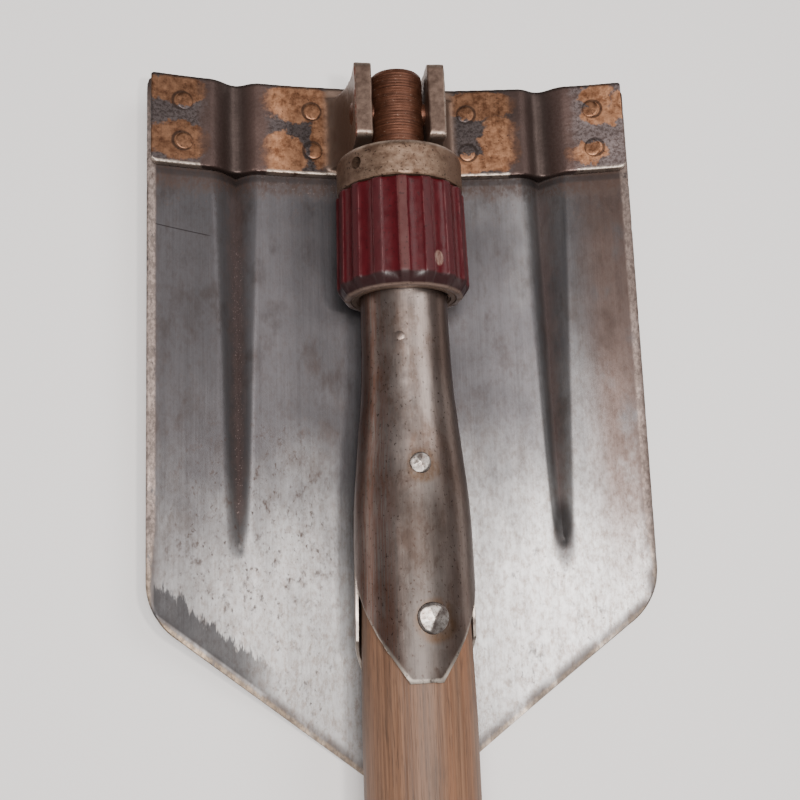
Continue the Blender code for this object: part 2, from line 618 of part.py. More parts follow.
def main():
    clear_scene()
    dull_steel = material("dull_steel", (0.33, 0.33, 0.34), 0.5, 1.0)
    coppery_steel = material("coppery_steel", (0.36, 0.22, 0.13), 0.5, 0.9)
    brown_steel = material("brown_steel", (0.27, 0.20, 0.15), 0.45, 0.9)
    bright_steel = material("bright_steel", (0.55, 0.50, 0.45), 0.35, 1.0)
    red_plastic = material("red_plastic", (0.22, 0.015, 0.02), 0.3, 0.0)
    wood = material("wood", (0.30, 0.17, 0.09), 0.6, 0.0)

    handle_axis = axis_empty("handle_axis", PIVOT)
    blade_axis = axis_empty("blade_axis", PIVOT)
    nut_axis = axis_empty("nut_axis", PIVOT + Vector((0.0, NUT_FACE, 0.0)) * MM)

    blade = make_blade(blade_axis, dull_steel)
    plate = make_hinge_plate(blade_axis, coppery_steel)
    make_blade_rivets(blade_axis, blade, plate, coppery_steel)
    make_hinge_pin(blade_axis, brown_steel)
    make_hinge_stud(handle_axis, brown_steel)
    make_cross_pin(handle_axis, brown_steel)
    make_socket_and_handle(handle_axis, brown_steel, bright_steel, wood)
    make_nut_core(nut_axis, brown_steel)
    make_nut_sleeve(nut_axis, red_plastic)
    make_nut_ring(nut_axis, brown_steel)


main()
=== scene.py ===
"""Looks for the folded camp shovel: worn steel blade, coppery hinge plate, red locking nut,
brown riveted socket and a wooden handle.

Shapes are drawn in millimetres about the hinge pin, as the CAD is: X along the pin, +Y past the
hinge end, -Y down the handle, +Z away from the blade. They become metres when a mesh is made.
"""

import math

import bmesh
import bpy
from mathutils import Matrix, Vector, noise


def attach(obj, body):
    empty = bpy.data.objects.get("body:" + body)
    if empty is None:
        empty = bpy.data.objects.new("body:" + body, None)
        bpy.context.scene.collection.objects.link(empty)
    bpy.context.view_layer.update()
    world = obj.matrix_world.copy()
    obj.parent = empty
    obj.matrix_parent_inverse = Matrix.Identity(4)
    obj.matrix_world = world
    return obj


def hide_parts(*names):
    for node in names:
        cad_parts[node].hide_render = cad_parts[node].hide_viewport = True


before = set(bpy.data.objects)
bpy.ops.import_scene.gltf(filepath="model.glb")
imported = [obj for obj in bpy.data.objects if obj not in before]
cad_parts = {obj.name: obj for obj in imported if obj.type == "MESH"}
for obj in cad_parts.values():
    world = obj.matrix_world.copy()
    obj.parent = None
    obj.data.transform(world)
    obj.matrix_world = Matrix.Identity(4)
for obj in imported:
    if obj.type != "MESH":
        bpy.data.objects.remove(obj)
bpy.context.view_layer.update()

MM = 0.001
PIVOT = Vector((0.0, 241.7, 23.988))

# Blade
BLADE_HALF_WIDTH = 75.0
BLADE_TOP = 16.6
BLADE_THICKNESS = 1.6
BLADE_BACK_Z = -20.5
DISH_RADIUS = 286.0
TOP_CORNER_RADIUS = 3.0
LOWER_EDGE_ANGLE = math.radians(37.5)
LOWER_EDGES_MEET = -204.4
SIDE_CORNER_RADIUS = 20.0
TIP_RADIUS = 18.0
GROOVE_X = 48.5
GROOVE_DEPTH = 6.0
GROOVE_HALF_WIDTH = 7.6
GROOVE_END_HALF_WIDTH = 3.4
GROOVE_TAPER_START = -13.0
GROOVE_END = -130.0
GROOVE_SHAPE = 1.8
GROOVE_FALL = 0.55
SCRATCH_Y = -42.2
SCRATCH_SLOPE = 0.155
TIP_Y = LOWER_EDGES_MEET + TIP_RADIUS / math.cos(LOWER_EDGE_ANGLE) - TIP_RADIUS
LOWEST_Z = -PIVOT.z
BLADE_LEAN = (BLADE_BACK_Z - BLADE_THICKNESS - LOWEST_Z) / (GROOVE_TAPER_START - TIP_Y)

# Hinge plate and its rivets
PLATE_GAP = 0.3
PLATE_THICKNESS = 3.0
PLATE_HALF_WIDTH = 73.6
PLATE_LOW = -13.0
PLATE_LOW_RISE = 0.6
PLATE_LOW_CORNER = 1.2
PLATE_NOTCH_HALF_WIDTH = 9.4
PLATE_NOTCH_BOTTOM = 12.6
EAR_INNER_X = 8.35
EAR_OUTER_X = 13.5
EAR_FRONT_Z = 10.0
EAR_TOP = 12.4
EAR_BOTTOM = -10.9
EAR_MIDDLE = (EAR_TOP + EAR_BOTTOM) / 2
EAR_CORNER = 1.6
EAR_FLARE_WIDTH = 7.0
EAR_FLARE_HEIGHT = 19.0
RIVET_COLUMNS = (24.7, 64.4)
RIVET_ROWS = (8.0, -5.0)
BLADE_RIVET_RADIUS = 2.65

# Stud and nut
STUD_RADIUS = 8.0
STUD_END = 11.6
NUT_FACE = -15.2
COLLAR_RADIUS = 18.7
COLLAR_LENGTH = 11.0
NUT_LENGTH = 43.2
CORE_RADIUS = 15.4
NUT_MOUTH_RADIUS = 13.7
SPANNER_HOLE_ANGLE = math.radians(-49)
SPANNER_HOLE_Y = 5.4
SLEEVE_TOP_RADIUS = 19.0
SLEEVE_END_RADIUS = 19.5
SLEEVE_CHAMFER_LENGTH = 3.6
SLEEVE_CHAMFER_DEPTH = 2.4
FLUTES = 16
FLUTE_DEPTH = 0.8
RIDGE_SHARE = 0.36
SLEEVE_TURN = -0.1
RING_RADIUS = 13.5
RING_WIRE = 0.6
RING_DEPTH = 42.2
RING_SPLIT_ANGLE = math.radians(70)
RING_SPLIT = math.radians(16)

# Socket and handle
SHEET = 1.3
SOCKET_TOP = -42.3
SOCKET_PROFILE = (
    (SOCKET_TOP, 12.6), (-60.0, 12.7), (-74.0, 12.85), (-85.0, 13.3), (-95.0, 14.2), (-105.0, 15.2),
    (-115.0, 16.1), (-125.0, 16.65), (-137.0, 16.8), (-150.0, 17.1), (-168.0, 17.5),
)
SEAM_HALF_ANGLE = math.radians(89.3)
SEAM_RUN_OUT = 6.0
FRONT_TONGUE = (-141.0, -167.0, math.radians(80), math.radians(15))
REAR_TONGUE = (-156.0, -174.0, math.radians(86), math.radians(24))
CROSS_PIN_RADIUS = 1.6
CROSS_PIN_Y = -72.0
CROSS_PIN_ANGLE = math.radians(-15)
SOCKET_RIVETS = {
    "upper": {"y": -108.5, "angle": math.radians(2.7), "head": 2.95, "rise": 1.3},
    "lower": {"y": -150.3, "angle": math.radians(7.5), "head": 4.3, "rise": 1.9},
}
WOOD_TOP = -79.0
WOOD_END = -500.0
WOOD_PROFILE = (
    (WOOD_TOP, 10.8), (-95.0, 12.4), (-115.0, 14.3), (-137.0, 15.0), (-150.0, 15.3), (-168.0, 15.8),
    (-180.0, 16.0), (-330.0, 16.0), (-420.0, 15.7), (-445.0, 16.7), (-464.0, 19.0), (-478.0, 20.7),
    (-486.0, 20.7), (-494.0, 19.0), (-498.5, 15.0), (WOOD_END, 9.0),
)


# Shape helpers

def wobble(x, y, z, size, seed=0.0):
    """Smooth noise between about -1 and 1, with lumps this many millimetres across."""
    return noise.noise(Vector((x / size + seed, y / size - seed, z / size + 2 * seed)))


def smoothstep(value, low, high):
    part = min(1.0, max(0.0, (value - low) / (high - low)))
    return part * part * (3 - 2 * part)


def steps(start, end, count):
    return [start + (end - start) * i / count for i in range(count + 1)]


def arc(centre, radius, start, end, count):
    turns = steps(start, end, count)
    return [(centre[0] + radius * math.cos(a), centre[1] + radius * math.sin(a)) for a in turns]


def full_turn(count):
    return [2 * math.pi * number / count for number in range(count)]


def curve_through(table, at):
    """Read a smooth curve through (position, value) pairs that run in falling order."""
    if at >= table[0][0]:
        return table[0][1]
    if at <= table[-1][0]:
        return table[-1][1]
    index = next(i for i in range(len(table) - 1) if at >= table[i + 1][0])
    (high, first), (low, second) = table[index], table[index + 1]
    before = table[max(0, index - 1)]
    after = table[min(len(table) - 1, index + 2)]
    slope_in = (second - before[1]) / (low - before[0])
    slope_out = (after[1] - first) / (after[0] - high)
    t = (at - high) / (low - high)
    span = low - high
    value = first * (2 * t**3 - 3 * t**2 + 1) + second * (3 * t**2 - 2 * t**3)
    return value + span * (slope_in * (t**3 - 2 * t**2 + t) + slope_out * (t**3 - t**2))


def on_axis(radius, y, angle):
    """A point round the handle's axis, its angle measured from +Z towards +X."""
    return (radius * math.sin(angle), y, radius * math.cos(angle))


def to_object(name, bm, flat_above=40.0):
    """Make an object from a bmesh in hinge millimetres."""
    bmesh.ops.remove_doubles(bm, verts=bm.verts, dist=0.0005)
    bmesh.ops.recalc_face_normals(bm, faces=bm.faces)
    bmesh.ops.translate(bm, vec=PIVOT, verts=bm.verts)
    bmesh.ops.scale(bm, vec=(MM, MM, MM), verts=bm.verts)
    mesh = bpy.data.meshes.new(name)
    bm.to_mesh(mesh)
    bm.free()
    mesh.shade_smooth()
    mesh.set_sharp_from_angle(angle=math.radians(flat_above))
    made = bpy.data.objects.new(name, mesh)
    bpy.context.scene.collection.objects.link(made)
    return made


def hinge_point(co):
    return Vector(co) / MM - PIVOT


def mark(obj, name, function):
    """Store a number at every vertex, worked out from its place in hinge millimetres."""
    layer = obj.data.attributes.new(name, "FLOAT", "POINT")
    for index, vertex in enumerate(obj.data.vertices):
        layer.data[index].value = function(*hinge_point(vertex.co))


def settle(obj):
    """Replace an object's mesh with its evaluated one and drop the modifiers."""
    graph = bpy.context.evaluated_depsgraph_get()
    mesh = bpy.data.meshes.new_from_object(obj.evaluated_get(graph))
    old = obj.data
    obj.modifiers.clear()
    obj.data = mesh
    bpy.data.meshes.remove(old)
    mesh.name = obj.name


def remeshed(obj, voxel, smoothing):
    """Merge an object's overlapping solids into one skin with softened edges."""
    modifier = obj.modifiers.new("voxels", "REMESH")
    modifier.mode = "VOXEL"
    modifier.voxel_size = voxel * MM
    soft = obj.modifiers.new("soften", "SMOOTH")
    soft.factor = 0.5
    soft.iterations = smoothing
    settle(obj)
    obj.data.shade_smooth()


def closed_sheet(bm, front, back):
    """Join two equal grids of points into one closed sheet."""
    grids = [[[bm.verts.new(point) for point in row] for row in grid] for grid in (front, back)]
    for grid in grids:
        for upper, lower in zip(grid, grid[1:]):
            for here in range(len(upper) - 1):
                bm.faces.new((upper[here], upper[here + 1], lower[here + 1], lower[here]))
    rims = [rim_of(grid) for grid in grids]
    join_loops(bm, rims[0], rims[1])


def rim_of(grid):
    right = [row[-1] for row in grid[1:-1]]
    left = [row[0] for row in reversed(grid[1:-1])]
    return list(grid[0]) + right + list(reversed(grid[-1])) + left


def join_loops(bm, first, second):
    for here in range(len(first)):
        after = (here + 1) % len(first)
        bm.faces.new((first[here], first[after], second[after], second[here]))


def join_rings(bm, rings, closed=False):
    """Join each ring to the next one, and the last to the first if the shape is hollow."""
    for first, second in zip(rings, rings[1:]):
        join_loops(bm, first, second)
    if closed:
        join_loops(bm, rings[-1], rings[0])


def rings_along_z(bm, profile, count=48):
    """Rings of vertices round Z from (radius, height) points."""
    around = arc((0.0, 0.0), 1.0, 0.0, 2 * math.pi, count)[:-1]
    return [[bm.verts.new((r * x, r * y, height)) for x, y in around] for r, height in profile]


def turned(profile, count=96, uneven=None, closed=False):
    """A ring or rod about the handle's axis from (radius, y) points; uneven moves a point's radius."""
    bm = bmesh.new()
    rings = []
    for radius, y in profile:
        ring = []
        for angle in full_turn(count):
            reach = radius + (uneven(radius, y, angle) if uneven and radius > 0.01 else 0.0)
            ring.append(bm.verts.new(on_axis(reach, y, angle)))
        rings.append(ring)
    join_rings(bm, rings, closed)
    return bm, rings


def rod(name, profile, count, uneven):
    bm, rings = turned(profile, count, uneven)
    for ring in (rings[0], rings[-1]):
        bm.faces.new(ring)
    return to_object(name, bm)


def double_ended(half, count, turn, axis):
    """A pin alike at both ends, drawn along Y from half its profile and turned to another axis."""
    profile = half + [(radius, -along) for radius, along in reversed(half)]
    bm = turned(profile, count)[0]
    bmesh.ops.rotate(bm, verts=bm.verts, matrix=Matrix.Rotation(turn, 3, axis))
    return bm


def place(bm, y, angle):
    """Turn a shape drawn along +Z to point out from the handle's axis at this angle."""
    matrix = Matrix.Translation((0.0, y, 0.0)) @ Matrix.Rotation(angle, 4, "Y")
    bmesh.ops.transform(bm, matrix=matrix, verts=bm.verts)


# Blade

def groove_taper(y):
    return min(1.0, max(0.0, (y - GROOVE_END) / (GROOVE_TAPER_START - GROOVE_END)))


def groove_half_width(y):
    wide = GROOVE_HALF_WIDTH - GROOVE_END_HALF_WIDTH
    return GROOVE_END_HALF_WIDTH + wide * groove_taper(y)


def in_groove(x, y):
    """One along a groove's valley, falling to zero at its shoulders and where it runs out."""
    across = abs(abs(x) - GROOVE_X) / groove_half_width(y)
    return max(0.0, 1.0 - across)


def back_height(x, y):
    dish = BLADE_BACK_Z + x * x / (2 * DISH_RADIUS)
    lean = BLADE_LEAN * max(0.0, GROOVE_TAPER_START - y)
    groove = GROOVE_DEPTH * groove_taper(y) ** GROOVE_FALL * in_groove(x, y) ** GROOVE_SHAPE
    return dish - lean - groove


def top_edge(x):
    past = max(0.0, abs(x) - (BLADE_HALF_WIDTH - TOP_CORNER_RADIUS))
    return BLADE_TOP - TOP_CORNER_RADIUS + math.sqrt(max(0.0, TOP_CORNER_RADIUS**2 - past**2))


def blade_columns():
    right = steps(0.0, 40.0, 26) + steps(40.5, 56.5, 32) + steps(57.6, 73.6, 16) + [74.4, 75.0]
    return [-x for x in reversed(right[1:])] + right


def blade_outline():
    """(half width, y) from below the top edge down to the tip."""
    turn = math.pi / 2 - LOWER_EDGE_ANGLE
    side_end = LOWER_EDGES_MEET + math.tan(LOWER_EDGE_ANGLE) * BLADE_HALF_WIDTH
    side_end += SIDE_CORNER_RADIUS * math.tan(turn / 2)
    side = [(BLADE_HALF_WIDTH, y) for y in steps(BLADE_TOP - TOP_CORNER_RADIUS, GROOVE_END, 114)]
    side += [(BLADE_HALF_WIDTH, y) for y in steps(GROOVE_END, side_end, 5)[1:]]
    corner_centre = (BLADE_HALF_WIDTH - SIDE_CORNER_RADIUS, side_end)
    corner = arc(corner_centre, SIDE_CORNER_RADIUS, 0.0, -turn, 14)[1:]
    tip_centre = (0.0, LOWER_EDGES_MEET + TIP_RADIUS / math.cos(LOWER_EDGE_ANGLE))
    tip = arc(tip_centre, TIP_RADIUS, -turn, math.radians(-86), 10)
    (wide, high), (narrow, low) = corner[-1], tip[0]
    edge = list(zip(steps(wide, narrow, 40), steps(high, low, 40)))[1:-1]
    return side + corner + edge + tip


def blade_edge_distance(x, y):
    """Distance in from the blade's outline, near enough for wear marks."""
    side = BLADE_HALF_WIDTH - abs(x)
    lower = (y - LOWER_EDGES_MEET) * math.cos(LOWER_EDGE_ANGLE) - abs(x) * math.sin(LOWER_EDGE_ANGLE)
    return min(side, lower, y - TIP_Y, BLADE_TOP - y)


def make_blade():
    across = blade_columns()
    rows = [[(x, top_edge(x)) for x in across]]
    rows.append([(x, top_edge(x) - 0.6) for x in across])
    for half_width, y in blade_outline()[1:]:
        narrow = half_width / BLADE_HALF_WIDTH
        rows.append([(x * narrow, y) for x in across])
    front, back = [], []
    last = len(rows) - 1
    for number, row in enumerate(rows):
        upper, lower = [], []
        for place_in_row, (x, y) in enumerate(row):
            rim = number in (0, last) or place_in_row in (0, len(row) - 1)
            lump = 0.22 * wobble(x, y, 0.0, 31.0) + 0.05 * wobble(x, y, 5.0, 8.0)
            lump *= smoothstep(blade_edge_distance(x, y), 0.0, 8.0) * smoothstep(-y, 16.0, 30.0)
            height = back_height(x, y)
            nick = 0.18 * max(0.0, wobble(x, y, 9.0, 3.0)) if rim and abs(x) > 60 else 0.0
            x -= math.copysign(nick, x)
            upper.append((x, y, height + lump - (0.4 if rim else 0.0)))
            under = max(LOWEST_Z, height + lump - BLADE_THICKNESS)
            lower.append((x, y, under + (0.4 if rim else 0.0)))
        front.append(upper)
        back.append(lower)
    bm = bmesh.new()
    closed_sheet(bm, front, back)
    blade = to_object("blade_sheet", bm)
    mark(blade, "edge", lambda x, y, z: blade_edge_distance(x, y))
    mark(blade, "groove", lambda x, y, z: in_groove(x, y) * smoothstep(groove_taper(y), 0.0, 0.12))
    mark(blade, "depth", lambda x, y, z: back_height(x, y) - z)
    return blade


# Hinge plate

def plate_low_edge(x):
    past = max(0.0, abs(x) - (PLATE_HALF_WIDTH - PLATE_LOW_CORNER)) / PLATE_LOW_CORNER
    return PLATE_LOW + PLATE_LOW_RISE * (x / PLATE_HALF_WIDTH) ** 2 + PLATE_LOW_CORNER * past**2


def plate_top_edge(x):
    return PLATE_NOTCH_BOTTOM if abs(x) < PLATE_NOTCH_HALF_WIDTH else top_edge(x) - 0.1


def plate_valley_fill(x, y):
    """Extra thickness that rounds out the groove on the plate's front."""
    inside = in_groove(x, y)
    rounded = inside - 1.25 * max(0.0, inside - 0.6) ** 2
    return GROOVE_DEPTH * (inside**GROOVE_SHAPE - 0.82 * rounded**GROOVE_SHAPE)


def ear_outline(side):
    flare_x = EAR_OUTER_X + EAR_FLARE_WIDTH
    dish_rise = flare_x**2 / (2 * DISH_RADIUS)
    foot = BLADE_BACK_Z + PLATE_GAP + PLATE_THICKNESS / 2
    surface = foot + PLATE_THICKNESS / 2 + dish_rise
    quarter = arc((1.0, 1.0), 1.0, math.pi, 1.5 * math.pi, 14)
    flare = [(EAR_OUTER_X + EAR_FLARE_WIDTH * out, surface + EAR_FLARE_HEIGHT * up) for out, up in quarter]
    points = [(EAR_INNER_X, foot), (EAR_INNER_X, EAR_FRONT_Z), (EAR_OUTER_X, EAR_FRONT_Z)]
    points += flare + [(flare_x, foot + dish_rise)]
    return [(side * x, z) for x, z in points]


def add_ear(bm, side):
    outline = ear_outline(side)
    face = bm.faces.new([bm.verts.new((x, EAR_BOTTOM, z)) for x, z in outline])
    raised = bmesh.ops.extrude_face_region(bm, geom=[face])["geom"]
    far = [item for item in raised if isinstance(item, bmesh.types.BMVert)]
    bmesh.ops.translate(bm, vec=(0.0, EAR_TOP - EAR_BOTTOM, 0.0), verts=far)
    front = [edge for edge in bm.edges
             if all(abs(v.co.z - EAR_FRONT_Z) < 0.01 and v.co.x * side > 0 for v in edge.verts)
             and abs(edge.verts[0].co.y - edge.verts[1].co.y) < 0.01]
    bmesh.ops.bevel(bm, geom=front, offset=EAR_CORNER, segments=6, profile=0.5, affect="EDGES")


def add_strip(bm):
    inner = [x for x in blade_columns() if abs(x) < PLATE_HALF_WIDTH - 0.4]
    notch = [side * (PLATE_NOTCH_HALF_WIDTH + step) for side in (-1, 1) for step in (-0.05, 0.05)]
    across = sorted([*inner, *notch, -PLATE_HALF_WIDTH, PLATE_HALF_WIDTH])
    front, back = [], []
    for level in steps(1.0, 0.0, 24):
        upper, lower = [], []
        for x in across:
            y = plate_low_edge(x) + (plate_top_edge(x) - plate_low_edge(x)) * level
            foot = back_height(x, y) + PLATE_GAP
            lump = 0.14 * wobble(x, y, 3.0, 7.0)
            upper.append((x, y, foot + PLATE_THICKNESS + plate_valley_fill(x, y) + lump))
            lower.append((x, y, foot))
        front.append(upper)
        back.append(lower)
    closed_sheet(bm, front, back)


def rivet_distance(x, y):
    return min(math.hypot(abs(x) - column, y - row) for column in RIVET_COLUMNS for row in RIVET_ROWS)


def make_plate():
    bm = bmesh.new()
    add_strip(bm)
    for side in (-1, 1):
        add_ear(bm, side)
    plate = to_object("hinge_plate_skin", bm)
    remeshed(plate, 0.42, 2)
    for vertex in plate.data.vertices:
        x, y, z = hinge_point(vertex.co)
        if z > -6.0:
            shift = 0.16 * wobble(x, y, z, 3.2, 4.0)
            vertex.co.x += shift * MM
            vertex.co.y += 0.16 * wobble(x, y, z, 2.6, 9.0) * MM
    mark(plate, "rivet", lambda x, y, z: rivet_distance(x, y))
    mark(plate, "groove", lambda x, y, z: in_groove(x, y))
    mark(plate, "edge", lambda x, y, z: min(y - plate_low_edge(x), plate_top_edge(x) - y))
    return plate


def make_blade_rivets():
    made = []
    spots = [(side * x, y) for y in RIVET_ROWS for x in RIVET_COLUMNS for side in (-1, 1)]
    order = sorted(spots, key=lambda spot: (-spot[1], spot[0]))
    for number, (x, y) in enumerate(order, 1):
        normal = Vector((-x / DISH_RADIUS, 0.0, 1.0)).normalized()
        tilt = normal.to_track_quat("Z", "Y").to_matrix().to_4x4()
        base = back_height(x, y)
        top = PLATE_GAP + PLATE_THICKNESS
        profile = [(0.0, -1.75), (2.0, -1.75), (2.5, -1.6), (2.5, top - 0.2)]
        profile += [(BLADE_RIVET_RADIUS, top - 0.05)]
        profile += [(2.5, top + 0.04), (2.0, top + 0.08), (1.0, top + 0.1), (0.0, top + 0.1)]
        bm = bmesh.new()
        rings = []
        for radius, height in profile:
            ring = []
            for angle in full_turn(40):
                reach = radius * (1 + 0.03 * math.sin(2 * angle + number))
                out, up = reach * math.cos(angle), reach * math.sin(angle)
                dent = 0.09 * wobble(out + 9 * number, up, height, 1.6) if height > top - 0.1 else 0.0
                ring.append(bm.verts.new((out, up, height + dent)))
            rings.append(ring)
        join_rings(bm, rings)
        bmesh.ops.transform(bm, matrix=Matrix.Translation((x, y, base)) @ tilt, verts=bm.verts)
        made.append(to_object(f"blade_rivet_head_{number}", bm))
    return made


# Stud, pin and nut

def turning_marks(radius, y, angle):
    marks = 0.025 * math.sin(y * 7.1) + 0.02 * math.sin(y * 11.3 + 1.0)
    return marks - 0.05 + 0.06 * wobble(radius * math.sin(angle), y, radius * math.cos(angle), 1.7)


def make_stud():
    profile = [(0.0, STUD_END), (STUD_RADIUS - 1.2, STUD_END), (STUD_RADIUS - 0.5, STUD_END - 0.15)]
    profile += [(STUD_RADIUS - 0.12, STUD_END - 0.6), (STUD_RADIUS, STUD_END - 1.3)]
    profile += [(STUD_RADIUS, y) for y in steps(STUD_END - 1.5, -18.0, 150)]
    profile += [(7.0, -19.0), (7.0, -42.0), (11.0, -42.0), (11.0, -76.5), (9.5, -78.0), (0.0, -78.0)]
    return rod("stud_turned", profile, 72, lambda r, y, a: turning_marks(r, y, a) if y > -18 else 0.0)


def make_pin():
    half = [(0.0, 14.4), (1.4, 14.3), (2.5, 14.05), (3.2, 13.75), (3.5, 13.45)]
    return to_object("hinge_pin_peened", double_ended(half, 40, -math.pi / 2, "Z"))


def make_collar():
    """The nut's steel core: rounded collar, bore, counterbore and mouth."""
    top = NUT_FACE
    end = top - NUT_LENGTH
    step = top - COLLAR_LENGTH
    outer = arc((COLLAR_RADIUS - 2.5, top - 2.5), 2.5, math.pi / 2, 0.0, 8)
    profile = [(8.9, top - 0.1), (9.4, top), *outer]
    profile += [(COLLAR_RADIUS, y) for y in steps(top - 3.0, step + 0.5, 14)]
    profile += [(COLLAR_RADIUS - 0.35, step + 0.08), (COLLAR_RADIUS - 0.9, step)]
    profile += [(CORE_RADIUS, step - 0.2), (CORE_RADIUS, end + 0.3)]
    profile += [(CORE_RADIUS - 0.3, end), (NUT_MOUTH_RADIUS + 0.2, end)]
    profile += [(NUT_MOUTH_RADIUS, end + 0.3), (NUT_MOUTH_RADIUS, top - 22.8)]
    profile += [(7.3, top - 22.8), (7.3, top - 6.2), (8.35, top - 6.2), (8.35, top - 0.5)]

    def rough(radius, y, angle):
        if radius < CORE_RADIUS - 1:
            return 0.0
        return 0.05 * wobble(radius * math.sin(angle), y, radius * math.cos(angle), 3.0) - 0.03

    collar = to_object("nut_collar", turned(profile, 120, rough, True)[0])
    for number in range(2):
        cutter = bmesh.new()
        bmesh.ops.create_cone(cutter, cap_ends=True, segments=32, radius1=1.75, radius2=1.95, depth=8.0)
        bmesh.ops.translate(cutter, vec=(0.0, 0.0, COLLAR_RADIUS), verts=cutter.verts)
        place(cutter, top - SPANNER_HOLE_Y, SPANNER_HOLE_ANGLE + number * math.pi)
        tool = to_object(f"hole_tool_{number}", cutter)
        cut = collar.modifiers.new("hole", "BOOLEAN")
        cut.object = tool
        cut.solver = "EXACT"
        settle(collar)
        bpy.data.objects.remove(tool, do_unlink=True)
    collar.data.set_sharp_from_angle(angle=math.radians(40))
    return collar


def flute_radius(share, radius, depth):
    """Radius over one pitch: a slightly crowned ridge with soft shoulders, then a hollow flute."""
    if share < RIDGE_SHARE:
        off = abs(share / RIDGE_SHARE * 2 - 1)
        return radius - 0.05 * off**2 - 0.12 * smoothstep(off, 0.86, 1.0)
    across = (share - RIDGE_SHARE) / (1 - RIDGE_SHARE)
    return radius - 0.17 - depth * math.sin(math.pi * across) ** 0.6


def make_sleeve():
    top = NUT_FACE - COLLAR_LENGTH - 0.3
    end = NUT_FACE - NUT_LENGTH
    shares = steps(0.0, RIDGE_SHARE, 8)[:-1] + steps(RIDGE_SHARE, 1.0, 14)[:-1]
    levels = [(top, SLEEVE_TOP_RADIUS - 0.5, 0.8), (top - 0.25, SLEEVE_TOP_RADIUS - 0.12, 1.0)]
    chamfer_top = end + SLEEVE_CHAMFER_LENGTH
    for y in steps(top - 0.7, chamfer_top + 0.8, 40):
        along = (top - y) / (top - chamfer_top)
        levels.append((y, SLEEVE_TOP_RADIUS + (SLEEVE_END_RADIUS - SLEEVE_TOP_RADIUS) * along, 1.0))
    chamfer = ((-0.12, 1.0), (0.0, 0.95), (0.12, 0.8), (0.3, 0.5), (0.5, 0.2), (0.75, 0.0), (0.95, 0.0))
    for part, depth in chamfer:
        y = chamfer_top - SLEEVE_CHAMFER_LENGTH * part
        radius = SLEEVE_END_RADIUS - SLEEVE_CHAMFER_DEPTH * max(0.0, part) ** 1.15
        levels.append((y, radius - (0.06 if part == 0.0 else 0.0), depth))
    levels += [(end, SLEEVE_END_RADIUS - SLEEVE_CHAMFER_DEPTH - 0.5, 0.0)]
    levels += [(end, CORE_RADIUS + 0.15, None), (top, CORE_RADIUS + 0.15, None)]
    bm = bmesh.new()
    rings = []
    for y, radius, fluted in levels:
        ring = []
        for number in range(FLUTES):
            for share in shares:
                angle = 2 * math.pi * (number + share - RIDGE_SHARE / 2) / FLUTES + SLEEVE_TURN
                reach = radius
                if fluted is not None:
                    reach = flute_radius(share, radius, FLUTE_DEPTH * fluted)
                    reach += 0.07 * wobble(*on_axis(radius, y, angle), 2.4) - 0.02
                    reach -= 0.12 * smoothstep(wobble(*on_axis(radius, y, angle), 1.9, 6.0), 0.45, 0.75)
                ring.append(bm.verts.new(on_axis(reach, y, angle)))
        rings.append(ring)
    join_rings(bm, rings, True)
    sleeve = to_object("nut_sleeve_fluted", bm, 55.0)

    half = RIDGE_SHARE / 2

    def flute_number(x, z):
        return (math.atan2(x, z) - SLEEVE_TURN) / (2 * math.pi) * FLUTES

    def ridge(x, y, z):
        """Distance from the middle of the nearest ridge, one at the ridge's shoulder."""
        share = (flute_number(x, z) + half) % 1.0
        off = share if share < 0.5 + half else share - 1
        return abs(off - half) / half

    def ridge_wear_and_sheen(x, y, z):
        """How pale a ridge is, from rubbed paint and a painted highlight: most on the one in front."""
        number = round(flute_number(x, z))
        front = math.exp(-abs(number) * 2.0)
        return 0.16 + 0.84 * front + 0.16 * noise.noise(Vector((number * 3.7, 1.3, 0.0)))

    mark(sleeve, "ridge", ridge)
    mark(sleeve, "worn", ridge_wear_and_sheen)
    mark(sleeve, "foot", lambda x, y, z: y - end)
    return sleeve


def make_ring():
    """A split wire ring in the mouth of the nut, its two cut ends turned to the right."""
    bm = bmesh.new()
    start = RING_SPLIT_ANGLE + RING_SPLIT / 2
    end = RING_SPLIT_ANGLE - RING_SPLIT / 2 + 2 * math.pi
    loops = []
    for turn in steps(start, end, 120):
        loop = []
        for angle in full_turn(12):
            radius = RING_RADIUS + RING_WIRE * math.cos(angle)
            y = NUT_FACE - RING_DEPTH + RING_WIRE * math.sin(angle)
            loop.append(bm.verts.new(on_axis(radius, y, turn)))
        loops.append(loop)
    join_rings(bm, loops)
    bm.faces.new(loops[0])
    bm.faces.new(loops[-1])
    return to_object("nut_ring_wire", bm)


# Socket and handle

def tongue_half_angle(tongue, y):
    start, end, wide, narrow = tongue
    if y >= start:
        run = max(0.0, (start + SEAM_RUN_OUT - y) / SEAM_RUN_OUT)
        return SEAM_HALF_ANGLE + (wide - SEAM_HALF_ANGLE) * run
    return wide + (narrow - wide) * (start - y) / (start - end)


